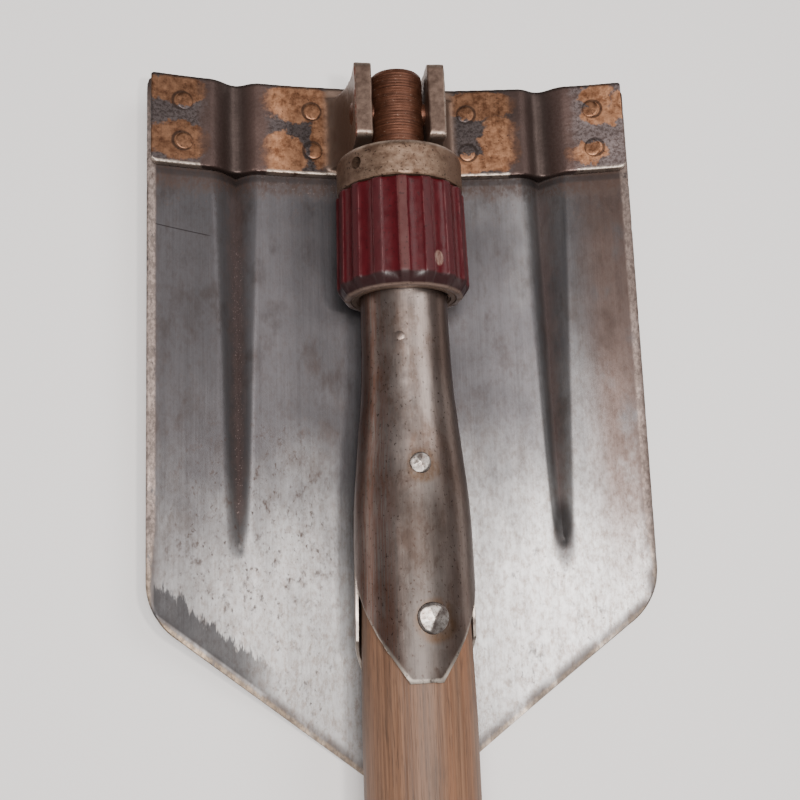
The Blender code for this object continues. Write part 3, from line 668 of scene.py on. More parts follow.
def make_socket_half(name, middle, tongue):
    """A pressed half shell with rounded sheet edges and a tongue."""
    start, end = tongue[:2]
    levels = steps(SOCKET_TOP, start + SEAM_RUN_OUT, 90) + steps(start + SEAM_RUN_OUT, end, 44)[1:]
    count = 72
    walls = []
    for inset in (0.0, SHEET):
        grid = []
        for number, y in enumerate(levels):
            half = tongue_half_angle(tongue, y)
            row = []
            for place_in_row, angle in enumerate(steps(middle - half, middle + half, count)):
                rim = number in (0, len(levels) - 1) or place_in_row in (0, count)
                radius = curve_through(SOCKET_PROFILE, y) - inset
                radius += 0.09 * wobble(*on_axis(14.0, y, angle), 9.0, 2.0)
                radius += 0.05 * wobble(*on_axis(14.0, y, angle), 2.5, 5.0)
                if rim:
                    radius += 0.3 if inset else -0.3
                sag = 0.0
                if y < start:
                    notch = 0.35 * wobble(math.degrees(angle) * 0.28, y, 0.0, 3.0, 3.0)
                    sag = notch * (1.0 if rim else 0.5) * smoothstep(start - y, 0.0, 8.0)
                row.append(on_axis(radius, y + sag, angle))
            grid.append(row)
        walls.append(grid)
    bm = bmesh.new()
    closed_sheet(bm, walls[0], walls[1])
    shell = to_object(name, bm, 50.0)

    def from_edge(x, y, z):
        angle = math.atan2(x, z) if middle == 0.0 else math.atan2(-x, -z)
        radius = math.hypot(x, z)
        side = (tongue_half_angle(tongue, y) - abs(angle)) * radius
        if y < start:
            side *= 0.75
        return min(side, y - end, SOCKET_TOP - y)

    mark(shell, "edge", from_edge)
    return shell


def hammered_head(bm, radius, rise, seed):
    """A domed head flattened by a few hammer blows."""
    planes = []
    for number in range(7):
        turn = 2.4 * number + seed
        lean = 0.16 + 0.09 * (number % 3)
        normal = Vector((math.sin(lean) * math.cos(turn), math.sin(lean) * math.sin(turn), math.cos(lean)))
        planes.append((normal, rise * (0.93 - 0.035 * (number % 2))))
    rings = []
    for ring_number in range(15):
        out = math.sin(math.pi / 2 * ring_number / 14)
        ring = []
        for angle in full_turn(56):
            wide = radius * (1 + 0.02 * math.sin(3 * angle + seed))
            x, y = wide * out * math.cos(angle), wide * out * math.sin(angle)
            height = rise * math.sqrt(max(0.0, 1 - out**2))
            for normal, reach in planes:
                height = min(height, (reach - normal.x * x - normal.y * y) / normal.z)
            ring.append(bm.verts.new((x, y, max(0.0, height) + 0.05 * wobble(x, y, seed, 0.9))))
        rings.append(ring)
    base = [bm.verts.new((v.co.x, v.co.y, -0.8)) for v in rings[-1]]
    rings.append(base)
    join_rings(bm, rings)
    bm.faces.new(base)


def make_socket_rivet(place_name, rivet):
    """The head in front and the peened end behind, joined by the shank through the handle."""
    bm = bmesh.new()
    hammered_head(bm, rivet["head"], rivet["rise"], rivet["y"])
    reach = curve_through(SOCKET_PROFILE, rivet["y"] - rivet["head"] * 0.4)
    bmesh.ops.translate(bm, vec=(0.0, 0.0, reach), verts=bm.verts)
    shank = [(0.0, reach - 0.5), (2.3, reach - 0.5), (2.3, -reach - 1.3), (3.6, -reach - 1.3)]
    shank += [(3.5, -reach - 1.6), (2.9, -reach - 2.0), (1.8, -reach - 2.25), (0.0, -reach - 2.3)]
    join_rings(bm, rings_along_z(bm, shank))
    place(bm, rivet["y"], rivet["angle"])
    return to_object(f"socket_rivet_{place_name}_hammered", bm)


def make_washer(place_name, rivet):
    reach = curve_through(SOCKET_PROFILE, rivet["y"] - 4.8)
    profile = [(2.6, -reach), (4.5, -reach), (4.8, -reach - 0.25), (4.8, -reach - 0.7), (4.5, -reach - 1.0)]
    profile += [(2.6, -reach - 1.0)]
    bm = bmesh.new()
    join_rings(bm, rings_along_z(bm, profile), True)
    place(bm, rivet["y"], rivet["angle"])
    return to_object(f"rivet_washer_{place_name}_worn", bm)


def make_cross_pin():
    reach = curve_through(SOCKET_PROFILE, CROSS_PIN_Y) + 0.02
    half = [(0.0, reach), (1.1, reach), (1.45, reach - 0.1), (CROSS_PIN_RADIUS, reach - 0.35)]
    bm = double_ended(half, 32, math.pi / 2, "X")
    place(bm, CROSS_PIN_Y, CROSS_PIN_ANGLE)
    return to_object("cross_pin_end", bm)


def make_handle():
    """Turned wood with faint long flats and pores left by use."""
    levels = steps(WOOD_TOP, -150.0, 24) + steps(-152.0, -480.0, 220) + steps(-481.0, WOOD_END, 26)
    profile = [(0.0, WOOD_TOP)] + [(curve_through(WOOD_PROFILE, y), y) for y in levels] + [(0.0, WOOD_END)]

    def worn(radius, y, angle):
        if y > -140.0:
            return 0.0
        x, _, z = on_axis(radius, y, angle)
        flats = 0.12 * noise.noise(Vector((x / 7, y / 90, z / 7)))
        grain = 0.05 * noise.noise(Vector((x / 0.9, y / 30, z / 0.9)))
        return flats + grain - 0.08

    return rod("handle_wood", profile, 160, worn)


# Material helpers

class Shade:
    """A Principled material with short calls for the nodes used on this object."""

    def __init__(self, name):
        self.material = bpy.data.materials.new(name)
        self.material.use_nodes = True
        self.tree = self.material.node_tree
        self.shader = self.tree.nodes["Principled BSDF"]
        self.colour = None
        self.normal = None

    def node(self, kind, **settings):
        made = self.tree.nodes.new(kind)
        for key, value in settings.items():
            setattr(made, key, value)
        return made

    def feed(self, socket, value):
        if isinstance(value, bpy.types.NodeSocket):
            self.tree.links.new(value, socket)
        elif socket.type == "RGBA":
            socket.default_value = (*value[:3], 1.0)
        else:
            socket.default_value = value

    def place(self, scale=(1.0, 1.0, 1.0), shift=0.0):
        """Position in hinge millimetres, each axis multiplied by a scale."""
        mapping = self.node("ShaderNodeMapping")
        where = self.node("ShaderNodeTexCoord").outputs["Object"]
        self.tree.links.new(where, mapping.inputs["Vector"])
        mapping.inputs["Scale"].default_value = [s / MM for s in scale]
        mapping.inputs["Location"].default_value = [shift - p * s for p, s in zip(PIVOT, scale)]
        return mapping.outputs["Vector"]

    def axes(self):
        split = self.node("ShaderNodeSeparateXYZ")
        self.tree.links.new(self.place(), split.inputs[0])
        return split.outputs

    def noise(self, size, detail=3.0, roughness=0.5, shift=0.0, distortion=0.0):
        """Noise from 0 to 1 with lumps of this size in millimetres along X, Y and Z."""
        sizes = size if isinstance(size, tuple) else (size, size, size)
        made = self.node("ShaderNodeTexNoise")
        self.tree.links.new(self.place([1.0 / s for s in sizes], shift), made.inputs["Vector"])
        made.inputs["Scale"].default_value = 1.0
        made.inputs["Detail"].default_value = detail
        made.inputs["Roughness"].default_value = roughness
        made.inputs["Distortion"].default_value = distortion
        return made.outputs[0]

    def value(self, name):
        return self.node("ShaderNodeAttribute", attribute_name=name).outputs["Fac"]

    def math(self, operation, a, b=0.0):
        made = self.node("ShaderNodeMath", operation=operation)
        self.feed(made.inputs[0], a)
        self.feed(made.inputs[1], b)
        return made.outputs[0]

    def plus(self, a, b):
        return self.math("ADD", a, b)

    def minus(self, a, b):
        return self.math("SUBTRACT", a, b)

    def absolute(self, a):
        return self.math("ABSOLUTE", a)

    def warped(self, value, noise, amount):
        """A value moved both ways by noise."""
        return self.plus(value, self.times(self.minus(noise, 0.5), amount))

    def ramp(self, value, low, high):
        """Zero at low, one at high, smooth between; low may be the larger."""
        made = self.node("ShaderNodeMapRange", interpolation_type="SMOOTHSTEP")
        self.feed(made.inputs["Value"], value)
        made.inputs["From Min"].default_value = low
        made.inputs["From Max"].default_value = high
        return made.outputs["Result"]

    def within(self, *ranges):
        """The product of a ramp for each (value, low, high)."""
        return self.times(*[self.ramp(*limits) for limits in ranges])

    def spot(self, across, along, x0, y0, rx, ry, soft=0.2):
        """One inside an oval patch round a place, zero outside it."""
        dx = self.math("DIVIDE", self.minus(across, x0), rx)
        dy = self.math("DIVIDE", self.minus(along, y0), ry)
        return self.ramp(self.plus(self.times(dx, dx), self.times(dy, dy)), 1.0 + soft, 1.0 - soft)

    def times(self, *values):
        product = values[0]
        for value in values[1:]:
            product = self.math("MULTIPLY", product, value)
        return product

    def most(self, *values):
        largest = values[0]
        for value in values[1:]:
            largest = self.math("MAXIMUM", largest, value)
        return largest

    def mix(self, amount, first, second, way="MIX"):
        made = self.node("ShaderNodeMix", data_type="RGBA", blend_type=way)
        self.feed(made.inputs[0], amount)
        self.feed(made.inputs[6], first)
        self.feed(made.inputs[7], second)
        return made.outputs[2]

    def blend(self, amount, first, second):
        made = self.node("ShaderNodeMix", data_type="FLOAT")
        self.feed(made.inputs[0], amount)
        self.feed(made.inputs[2], first)
        self.feed(made.inputs[3], second)
        return made.outputs[0]

    def scaled(self, colour, factor):
        """Colour made lighter or darker by a factor."""
        made = self.node("ShaderNodeVectorMath", operation="SCALE")
        self.feed(made.inputs[0], colour)
        self.feed(made.inputs["Scale"], factor)
        return made.outputs[0]

    def coat(self, colour, *amounts):
        """Lay a colour over the material's, by the product of the amounts."""
        self.colour = self.mix(self.times(*amounts), self.colour, colour)

    def tone_by(self, amount, low, high):
        """Multiply the material's colour by a factor that the amount sets between low and high."""
        self.colour = self.scaled(self.colour, self.blend(amount, low, high))

    def bump(self, height, distance, strength=1.0):
        """Relief this many millimetres high, on top of any relief already there."""
        made = self.node("ShaderNodeBump")
        made.inputs["Strength"].default_value = strength
        made.inputs["Distance"].default_value = distance * MM
        self.feed(made.inputs["Height"], height)
        if self.normal is not None:
            self.tree.links.new(self.normal, made.inputs["Normal"])
        self.normal = made.outputs[0]

    def finish(self, roughness, metallic, tone):
        """Join the colour, times a tone, and the rest to the shader."""
        self.feed(self.shader.inputs["Base Color"], self.scaled(self.colour, tone))
        self.tree.links.new(self.normal, self.shader.inputs["Normal"])
        self.feed(self.shader.inputs["Roughness"], roughness)
        self.feed(self.shader.inputs["Metallic"], metallic)
        return self.material


def blade_steel():
    s = Shade("blade_steel_worn")
    x, y = s.axes()[:2]
    broad = s.noise((34.0, 60.0, 34.0), 4.0, 0.55)
    patch = s.noise((9.0, 16.0, 9.0), 5.0, 0.6, 7.0)
    brushed = s.noise((0.5, 30.0, 3.0), 3.0, 0.6, 3.0)
    wide_brush = s.noise((2.6, 90.0, 8.0), 2.0, 0.5, 12.0)
    speck = s.noise((1.1, 1.7, 1.1), 4.0, 0.7, 21.0)
    blot = s.noise((2.6, 4.2, 2.6), 5.0, 0.72, 31.0)
    mottle = s.noise((1.6, 3.0, 1.6), 6.0, 0.78, 51.0)
    sparkle = s.noise((0.55, 0.55, 0.55), 2.0, 0.5, 71.0)
    edge = s.value("edge")
    groove = s.value("groove")

    # Metal, rubbed bare and brighter towards the tip and the right, partly a painted reflection of the
    # lamps; then lighter in the upper rows, darker at their right end and darker in the middle
    down = s.ramp(y, -62.0, -185.0)
    right = s.ramp(x, -80.0, 80.0)
    bare_and_sheen = s.plus(s.times(down, 0.85), s.times(right, 0.32))
    bare_and_sheen = s.warped(s.warped(bare_and_sheen, broad, 0.9), patch, 0.35)
    bare_and_sheen = s.ramp(bare_and_sheen, 0.12, 0.98)
    s.colour = s.mix(bare_and_sheen, (0.16, 0.15, 0.158), (0.76, 0.74, 0.735))
    upper = s.blend(s.ramp(x, -60.0, -38.0), 1.2, 2.1)
    upper = s.times(upper, s.blend(s.ramp(x, 46.0, 58.0), 1.0, 0.45))
    s.tone_by(s.ramp(y, -115.0, -35.0), 1.0, upper)
    s.tone_by(s.ramp(s.absolute(x), 20.0, 45.0), 0.72, 1.0)
    brown_side = s.within((x, 54.0, 66.0), (y, -160.0, -105.0), (patch, 0.2, 0.5))
    s.coat((0.215, 0.15, 0.13), brown_side, 0.9)
    grain = s.plus(s.times(brushed, 0.55), s.times(wide_brush, 0.45))
    s.tone_by(grain, 0.66, 1.34)
    dapple = s.ramp(mottle, 0.42, 0.68)
    tint = s.mix(dapple, (1.08, 1.08, 1.08), (0.74, 0.62, 0.55))
    s.colour = s.mix(s.blend(bare_and_sheen, 0.35, 0.8), s.colour, tint, "MULTIPLY")
    stain = s.within((patch, 0.5, 0.7), (bare_and_sheen, 1.0, 0.25))
    s.coat((0.1, 0.07, 0.06), stain, 0.5)

    # Rust under the hinge plate, in the grooves and in specks, with glints among it; painted shade at the
    # right groove's end and a painted shadow line below the plate
    low_plate = s.warped(y, blot, 11.0)
    band = s.within((low_plate, -22.0, -15.5), (patch, 0.15, 0.4))
    band = s.times(band, s.blend(s.ramp(speck, 0.42, 0.58), 0.55, 1.0))
    valley = s.ramp(s.warped(groove, blot, 0.8), 0.3, 1.0)
    rusty_end = s.spot(x, y, -44.0, -122.0, 24.0, 32.0, 0.8)
    crowd = s.most(s.times(s.ramp(broad, 0.5, 0.72), down), rusty_end, s.ramp(y, -32.0, -16.0))
    freckle = s.times(s.ramp(speck, 0.58, 0.7), s.blend(crowd, 0.12, 0.75))
    blotch = s.times(s.ramp(blot, 0.55, 0.72), s.blend(crowd, 0.1, 0.75))
    outer = s.within((edge, 4.5, 0.8), (patch, 0.3, 0.6))
    rust = s.most(s.times(band, 0.95), s.times(valley, 0.7), freckle, blotch, s.times(outer, 0.7))
    rust_colour = s.mix(blot, (0.085, 0.038, 0.026), (0.26, 0.125, 0.075))
    in_valley = s.mix(blot, (0.24, 0.12, 0.1), (0.42, 0.29, 0.26))
    rust_colour = s.mix(s.times(valley, s.ramp(y, -16.0, -22.0)), rust_colour, in_valley)
    s.coat(rust_colour, rust, 0.82)
    # Painted shade where the right groove runs out
    groove_end_shade = s.times(s.ramp(x, 0.0, 10.0), s.spot(x, y, GROOVE_X, GROOVE_END + 4.0, 3.4, 10.0, 0.7))
    s.coat((0.075, 0.065, 0.065), groove_end_shade, 0.85)
    glint_row = s.within((groove, 0.62, 0.9), (x, 10.0, -10.0), (y, -20.0, -45.0))
    glint_band = s.times(band, s.ramp(x, -10.0, -20.0), s.ramp(x, -46.0, -38.0), 0.6)
    glint = s.times(s.ramp(sparkle, 0.63, 0.71), s.most(glint_row, glint_band))
    s.coat((1.1, 0.85, 0.8), glint, 0.7)
    # Painted shadow: a dark line on the blade just below the hinge plate's lower edge
    plate_shadow_line = s.ramp(s.absolute(s.minus(y, PLATE_LOW - 1.0)), 1.5, 0.4)
    s.coat((0.03, 0.025, 0.03), plate_shadow_line, 0.5)
    line = s.absolute(s.plus(s.minus(y, SCRATCH_Y), s.times(x, SCRATCH_SLOPE)))
    line = s.within((line, 0.22, 0.08), (x, -73.5, -72.0), (x, -55.0, -58.0))
    s.coat((0.04, 0.03, 0.03), line, 0.8)

    # Dark skin on the lower left edge, bright wear with a painted highlight on the rims
    above_edge = s.times(s.minus(y, LOWER_EDGES_MEET), math.cos(LOWER_EDGE_ANGLE))
    from_lower_edge = s.plus(above_edge, s.times(x, math.sin(LOWER_EDGE_ANGLE)))
    slanted = s.warped(from_lower_edge, s.noise((2.0, 12.0, 2.0), 4.0, 0.7), 12.0)
    dark_skin = s.within((slanted, 9.8, 8.4), (edge, 1.8, 2.6), (x, -34.0, -50.0))
    s.coat((0.055, 0.053, 0.058), dark_skin, 0.85)
    # Worn rims, painted brighter as a highlight, more so towards the left
    rim_depth = s.plus(edge, s.times(s.ramp(y, -118.0, -140.0), 1.2))
    worn_edge_and_sheen = s.within((rim_depth, 3.0, 2.1), (mottle, 0.3, 0.52), (y, 14.0, 0.0))
    golden = s.mix(s.ramp(y, -120.0, -150.0), (0.85, 0.66, 0.58), (0.95, 0.7, 0.48))
    golden = s.scaled(golden, s.blend(s.ramp(speck, 0.4, 0.6), 0.6, 1.25))
    worn_edge_and_sheen = s.times(worn_edge_and_sheen, s.blend(s.ramp(x, 0.0, -60.0), 0.45, 0.85))
    s.coat(golden, worn_edge_and_sheen)
    lip = s.within((s.value("depth"), 0.35, 0.9), (edge, 2.5, 1.0))
    s.coat((0.36, 0.15, 0.08), lip, 0.9)
    # Painted shade on the inner flank of the right groove
    shaded_flank = s.within((groove, 0.02, 0.2), (x, GROOVE_X, GROOVE_X - 2.0), (x, 30.0, 38.0))
    s.tone_by(shaded_flank, 1.0, 0.5)

    s.bump(brushed, 0.014, 0.8)
    s.bump(patch, 0.06, 0.6)
    s.bump(mottle, 0.03, 0.6)
    rough = s.blend(rust, s.blend(mottle, 0.3, 0.5), 0.75)
    in_any_groove = s.ramp(groove, 0.02, 0.35)
    metal = s.blend(s.most(rust, s.times(in_any_groove, 0.75)), 0.95, 0.3)
    return s.finish(rough, metal, 0.3)


COPPER_PATCHES = (
    (-66.0, 11.5, 10.0, 4.8), (-66.0, -5.0, 10.5, 6.0), (-29.5, 10.5, 11.0, 6.5), (-34.0, -7.0, 7.5, 7.0),
    (-21.5, -1.0, 4.0, 10.5), (27.0, 11.0, 14.0, 4.8), (35.0, -2.0, 6.5, 9.5), (24.0, -9.0, 9.0, 3.5),
    (65.0, 12.5, 5.5, 4.0), (67.0, 6.0, 6.5, 3.6), (72.5, 8.5, 3.0, 4.5), (62.0, -7.0, 6.5, 3.6),
)


def plate_steel(whole_plate=True):
    s = Shade("plate_steel_coppery" if whole_plate else "plate_rivet_coppery")
    x, y, z = s.axes()
    warp = s.noise(5.0, 5.0, 0.65, 4.0)
    warp_2 = s.noise(4.0, 5.0, 0.65, 44.0)
    blot = s.noise(2.4, 5.0, 0.65, 8.0)
    speck = s.noise(0.9, 3.0, 0.65, 14.0)
    scratch = s.noise((0.6, 8.0, 3.0), 3.0, 0.6, 5.0)
    across = s.warped(x, warp, 9.0)
    along = s.warped(y, warp_2, 9.0)
    copper_here = s.most(*[s.spot(across, along, *patch) for patch in COPPER_PATCHES])

    copper = s.mix(s.ramp(blot, 0.25, 0.72), (0.2, 0.078, 0.036), (0.6, 0.3, 0.165))
    copper = s.scaled(copper, s.blend(scratch, 0.72, 1.28))
    dull = s.mix(s.ramp(speck, 0.35, 0.65), (0.085, 0.06, 0.055), (0.2, 0.16, 0.155))
    dull = s.scaled(dull, s.blend(s.ramp(s.absolute(x), 42.0, 56.0), 0.72, 1.35))
    s.colour = s.mix(copper_here, dull, copper)
    shade_left = s.blend(s.ramp(x, -70.0, -28.0), 0.58, 0.92)
    shade_right = s.blend(s.ramp(x, 40.0, 60.0), s.blend(s.ramp(along, 8.0, 3.0), 0.72, 1.05), 0.85)
    s.tone_by(s.ramp(x, -5.0, 5.0), shade_left, shade_right)
    s.coat((0.045, 0.022, 0.016), s.ramp(speck, 0.6, 0.7), 0.75)
    metal = s.blend(copper_here, 0.75, 0.85)
    rough = s.blend(blot, 0.32, 0.52)
    if whole_plate:
        ring = s.value("rivet")
        edge = s.value("edge")
        from_groove = s.absolute(s.minus(s.absolute(across), GROOVE_X))
        beside = s.ramp(from_groove, 12.0, 8.0)
        s.coat((0.11, 0.066, 0.055), beside, 0.85)
        # Painted light: the strip's groove flanks that face left made lighter
        lit_left_facing_flanks = s.within((x, -49.0, -46.0), (x, -30.0, -36.0))
        lit_left_facing_flanks = s.most(s.ramp(x, 48.0, 51.0), lit_left_facing_flanks)
        s.tone_by(s.times(lit_left_facing_flanks, s.ramp(z, 4.0, 2.0)), 1.0, 1.7)
        valley = s.ramp(s.value("groove"), 0.35, 0.9)
        valley_metal = s.mix(speck, (0.085, 0.058, 0.05), (0.17, 0.122, 0.108))
        s.coat(valley_metal, valley, 0.8)
        # Brown fillet at the ears' roots, its colour lifted as painted light where it lies in shade
        root = s.ramp(s.absolute(x), 22.0, 18.5)
        s.coat((0.34, 0.225, 0.17), root, 0.9)
        around = s.within((ring, 3.5, 3.0), (ring, 2.2, 2.5))
        s.coat((0.035, 0.02, 0.015), around, 0.75)
        # Bright worn lower edge of the strip, partly a painted highlight along its corner
        low = s.within((edge, 1.2, 0.5), (blot, 0.3, 0.5), (y, 0.0, -8.0))
        s.coat((0.8, 0.66, 0.55), low, 0.8, s.ramp(beside, 0.7, 0.2))
        top = s.within((edge, 1.6, 0.6), (y, 8.0, 14.0))
        s.coat((0.05, 0.035, 0.03), top, 0.7)
        ear = s.ramp(z, 6.6, 9.2)
        grey = s.mix(s.ramp(blot, 0.25, 0.75), (0.17, 0.105, 0.078), (0.33, 0.22, 0.17))
        worn_end = s.ramp(s.absolute(s.minus(y, EAR_MIDDLE)), 9.8, 11.0)
        worn_side = s.ramp(s.absolute(x), 12.8, 13.4)
        worn = s.times(s.most(worn_end, worn_side), s.ramp(speck, 0.3, 0.55), 0.7)
        grey = s.mix(worn, grey, (0.62, 0.5, 0.41))
        burr = s.within((x, -12.9, -13.3), (blot, 0.35, 0.55))
        grey = s.mix(s.times(burr, 0.8), grey, (0.3, 0.075, 0.04))
        s.coat(grey, ear)
        rough = s.blend(beside, rough, 0.42)
    s.bump(blot, 0.1, 0.8)
    s.bump(scratch, 0.025, 0.6)
    s.bump(speck, 0.03, 0.8)
    return s.finish(rough, metal, 0.5)


def stud_steel():
    s = Shade("stud_steel_rusty")
    y = s.axes()[1]
    turning = s.noise((30.0, 0.4, 30.0), 2.0, 0.6)
    blot = s.noise(2.6, 5.0, 0.65, 8.0)
    highlight_fleck = s.noise((1.3, 0.35, 1.3), 2.0, 0.5, 17.0)
    s.colour = s.mix(blot, (0.075, 0.024, 0.011), (0.22, 0.085, 0.046))
    s.tone_by(s.ramp(turning, 0.35, 0.65), 0.75, 1.3)
    # Painted highlights: pale flecks along the turning marks
    s.coat((0.6, 0.44, 0.34), s.ramp(highlight_fleck, 0.66, 0.75), 0.6)
    near_nut = s.ramp(y, -12.4, -13.3)
    s.coat((0.78, 0.64, 0.54), near_nut, 0.85)
    s.bump(turning, 0.05, 0.8)
    s.bump(blot, 0.08, 0.8)
    rough = s.blend(blot, 0.36, 0.58)
    return s.finish(rough, s.blend(blot, 0.8, 0.5), 0.6)


def collar_steel():
    s = Shade("collar_steel_brown")
    x, y = s.axes()[:2]
    blot = s.noise((3.6, 3.0, 3.6), 5.0, 0.65, 8.0)
    around = s.noise((30.0, 0.8, 30.0), 3.0, 0.6, 2.0)
    speck = s.noise(0.8, 3.0, 0.65, 15.0)
    s.colour = s.mix(s.ramp(blot, 0.3, 0.7), (0.2, 0.115, 0.075), (0.46, 0.31, 0.22))
    s.tone_by(around, 0.75, 1.2)
    # Painted shade on the collar's right side, mottled
    side = s.within((x, 6.0, 16.0), (blot, 0.3, 0.55))
    s.coat((0.15, 0.075, 0.045), side, 0.6)
    # Painted shade on the collar's left side
    left = s.times(s.ramp(x, -9.0, -17.0), 0.45)
    s.coat((0.11, 0.06, 0.045), left)
    s.coat((0.05, 0.028, 0.02), s.ramp(speck, 0.58, 0.66), 0.8)
    top_edge_wear = s.within((y, -17.2, -16.0), (blot, 0.3, 0.6))
    s.coat((0.62, 0.5, 0.4), top_edge_wear, 0.6)
    inside = s.ramp(y, -26.3, -27.5)
    s.coat((0.36, 0.25, 0.19), inside, 0.8)
    s.bump(blot, 0.07, 0.8)
    s.bump(around, 0.02, 0.6)
    s.bump(speck, 0.03, 0.8)
    return s.finish(s.blend(blot, 0.42, 0.6), 0.8, 0.62)


def red_plastic():
    s = Shade("red_plastic_worn")
    x, y, z = s.axes()
    blot = s.noise((2.2, 5.0, 2.2), 5.0, 0.65, 8.0)
    fine = s.noise((0.4, 3.0, 0.4), 3.0, 0.6, 5.0)
    speck = s.noise(0.8, 2.0, 0.6, 15.0)
    ridge = s.value("ridge")
    worn = s.ramp(s.value("worn"), 0.15, 1.0)
    foot = s.value("foot")
    s.colour = s.mix(blot, (0.055, 0.0025, 0.006), (0.155, 0.008, 0.014))
    rubbed = s.ramp(s.plus(blot, s.times(fine, 0.3)), 0.3, 0.8)
    # Paler ridge tops: rubbed paint plus a painted highlight, strongest on the front ridge
    top = s.times(s.ramp(ridge, 1.0, 0.85), s.blend(rubbed, 0.55, 1.0))
    pale = s.mix(worn, (0.09, 0.018, 0.022), (0.165, 0.05, 0.046))
    s.coat(pale, top, s.blend(worn, 0.5, 0.95))
    rim = s.ramp(s.absolute(s.minus(ridge, 1.0)), 0.1, 0.03)
    s.coat((0.34, 0.15, 0.15), rim, s.ramp(blot, 0.35, 0.6), 0.5)
    chip = s.spot(x, y, 8.2, -50.5, 1.3416, 2.2361, 0.3333)
    chip = s.times(chip, s.ramp(z, 0.0, 5.0), s.ramp(fine, 0.35, 0.55))
    s.coat((0.5, 0.33, 0.26), chip, 0.7)
    chamfer = s.ramp(foot, 4.0, 3.1)
    s.coat((0.045, 0.02, 0.02), chamfer, 0.92)
    end = s.ramp(foot, 0.9, 0.2)
    s.coat((0.36, 0.25, 0.2), end, s.blend(blot, 0.6, 1.0))
    s.coat((0.02, 0.006, 0.006), s.ramp(speck, 0.6, 0.68), 0.5)
    s.bump(blot, 0.07, 0.8)
    s.bump(fine, 0.03, 0.7)
    rough = s.blend(top, s.blend(blot, 0.24, 0.42), 0.52)
    s.shader.inputs["Specular IOR Level"].default_value = 0.25
    return s.finish(rough, 0.0, 0.5)


def socket_steel(shell=True):
    s = Shade("socket_steel_brown" if shell else "washer_steel_brown")
    x, y, z = s.axes()
    broad = s.noise((11.0, 24.0, 11.0), 4.0, 0.6)
    blot = s.noise((2.4, 4.4, 2.4), 5.0, 0.7, 8.0)
    streak = s.noise((0.5, 26.0, 0.5), 3.0, 0.6, 5.0)
    speck = s.noise((0.8, 1.1, 0.8), 3.0, 0.65, 15.0)
    s.colour = s.mix(s.ramp(broad, 0.3, 0.7), (0.32, 0.24, 0.205), (0.52, 0.44, 0.4))
    s.tone_by(streak, 0.7, 1.3)
    s.tone_by(blot, 0.68, 1.25)
    brown = s.ramp(s.warped(blot, broad, -0.5), 0.48, 0.68)
    s.coat((0.12, 0.06, 0.036), brown, 0.45)
    left = s.within((x, -4.5, -10.5), (streak, 0.35, 0.6))
    s.coat((0.3, 0.12, 0.075), left, 0.6)
    # Painted shade on the socket's right side, strongest towards the top
    right = s.times(s.ramp(x, 1.5, 9.5), s.blend(s.ramp(y, -95.0, -75.0), 0.5, 0.85))
    s.coat((0.15, 0.09, 0.068), right)
    # Painted shade down the middle below the upper rivet, dimming the highlight there; it is also rougher
    in_middle = s.ramp(s.absolute(s.minus(x, 0.5)), 9.5, 3.5)
    painted_shade_middle = s.times(s.ramp(y, -98.0, -122.0), in_middle)
    s.tone_by(painted_shade_middle, 1.0, 0.3)
    rough = s.blend(painted_shade_middle, s.blend(blot, 0.24, 0.42), 0.48)
    if shell:
        for rivet in SOCKET_RIVETS.values():
            middle = rivet["head"] * 0.3 + rivet["angle"] * 15.0
            reach = (rivet["head"] + 2.6) * 0.8515
            halo = s.spot(x, y, middle, rivet["y"] - 0.8, reach, reach, 0.3793)
            halo = s.times(halo, s.ramp(blot, 0.25, 0.6), s.ramp(z, 0.0, 5.0))
            s.coat((0.13, 0.07, 0.035), halo, 0.7)
        edge = s.value("edge")
        bright = s.within((edge, 1.1, 0.3), (y, -80.0, -92.0), (blot, 0.25, 0.5))
        s.coat((0.7, 0.6, 0.52), bright, 0.8)
        tip = s.within((edge, 1.3, 0.5), (y, -150.0, -160.0), (blot, 0.3, 0.5))
        s.coat((0.66, 0.58, 0.5), tip, 0.7)
    s.coat((0.05, 0.028, 0.02), s.ramp(speck, 0.6, 0.69), 0.75)
    s.bump(broad, 0.08, 0.8)
    s.bump(blot, 0.05, 0.8)
    s.bump(streak, 0.014, 0.8)
    return s.finish(rough, 0.9, 0.55)


def rivet_steel():
    s = Shade("rivet_steel_bright")
    blot = s.noise(1.5, 4.0, 0.6, 8.0)
    speck = s.noise(0.5, 2.0, 0.6, 15.0)
    s.colour = s.mix(s.ramp(blot, 0.3, 0.7), (0.34, 0.27, 0.24), (0.72, 0.66, 0.61))
    s.coat((0.12, 0.065, 0.045), s.ramp(speck, 0.58, 0.68), 0.7)
    s.bump(blot, 0.06, 0.9)
    return s.finish(s.blend(blot, 0.28, 0.45), 0.9, 0.5)


def handle_wood():
    s = Shade("handle_wood_worn")
    broad = s.noise((6.0, 150.0, 6.0), 3.0, 0.5)
    grain = s.noise((0.9, 60.0, 0.9), 4.0, 0.65, 4.0, 0.3)
    pore = s.noise((0.3, 8.0, 0.3), 2.0, 0.6, 9.0)
    grime = s.noise((4.0, 18.0, 4.0), 5.0, 0.65, 16.0)
    s.colour = s.mix(s.ramp(grain, 0.3, 0.7), (0.18, 0.082, 0.04), (0.36, 0.182, 0.1))
    s.coat((0.4, 0.165, 0.075), s.ramp(broad, 0.5, 0.66), 0.6)
    s.coat((0.215, 0.155, 0.12), s.ramp(broad, 0.48, 0.32), 0.5)
    s.coat((0.075, 0.036, 0.02), s.ramp(pore, 0.55, 0.68), 0.6)
    s.coat((0.105, 0.06, 0.038), s.ramp(grime, 0.5, 0.72), 0.4)
    s.bump(grain, 0.12, 0.9)
    s.bump(pore, 0.08, 0.9)
    return s.finish(s.blend(grain, 0.5, 0.68), 0.0, 0.58)


# Floor, light and camera

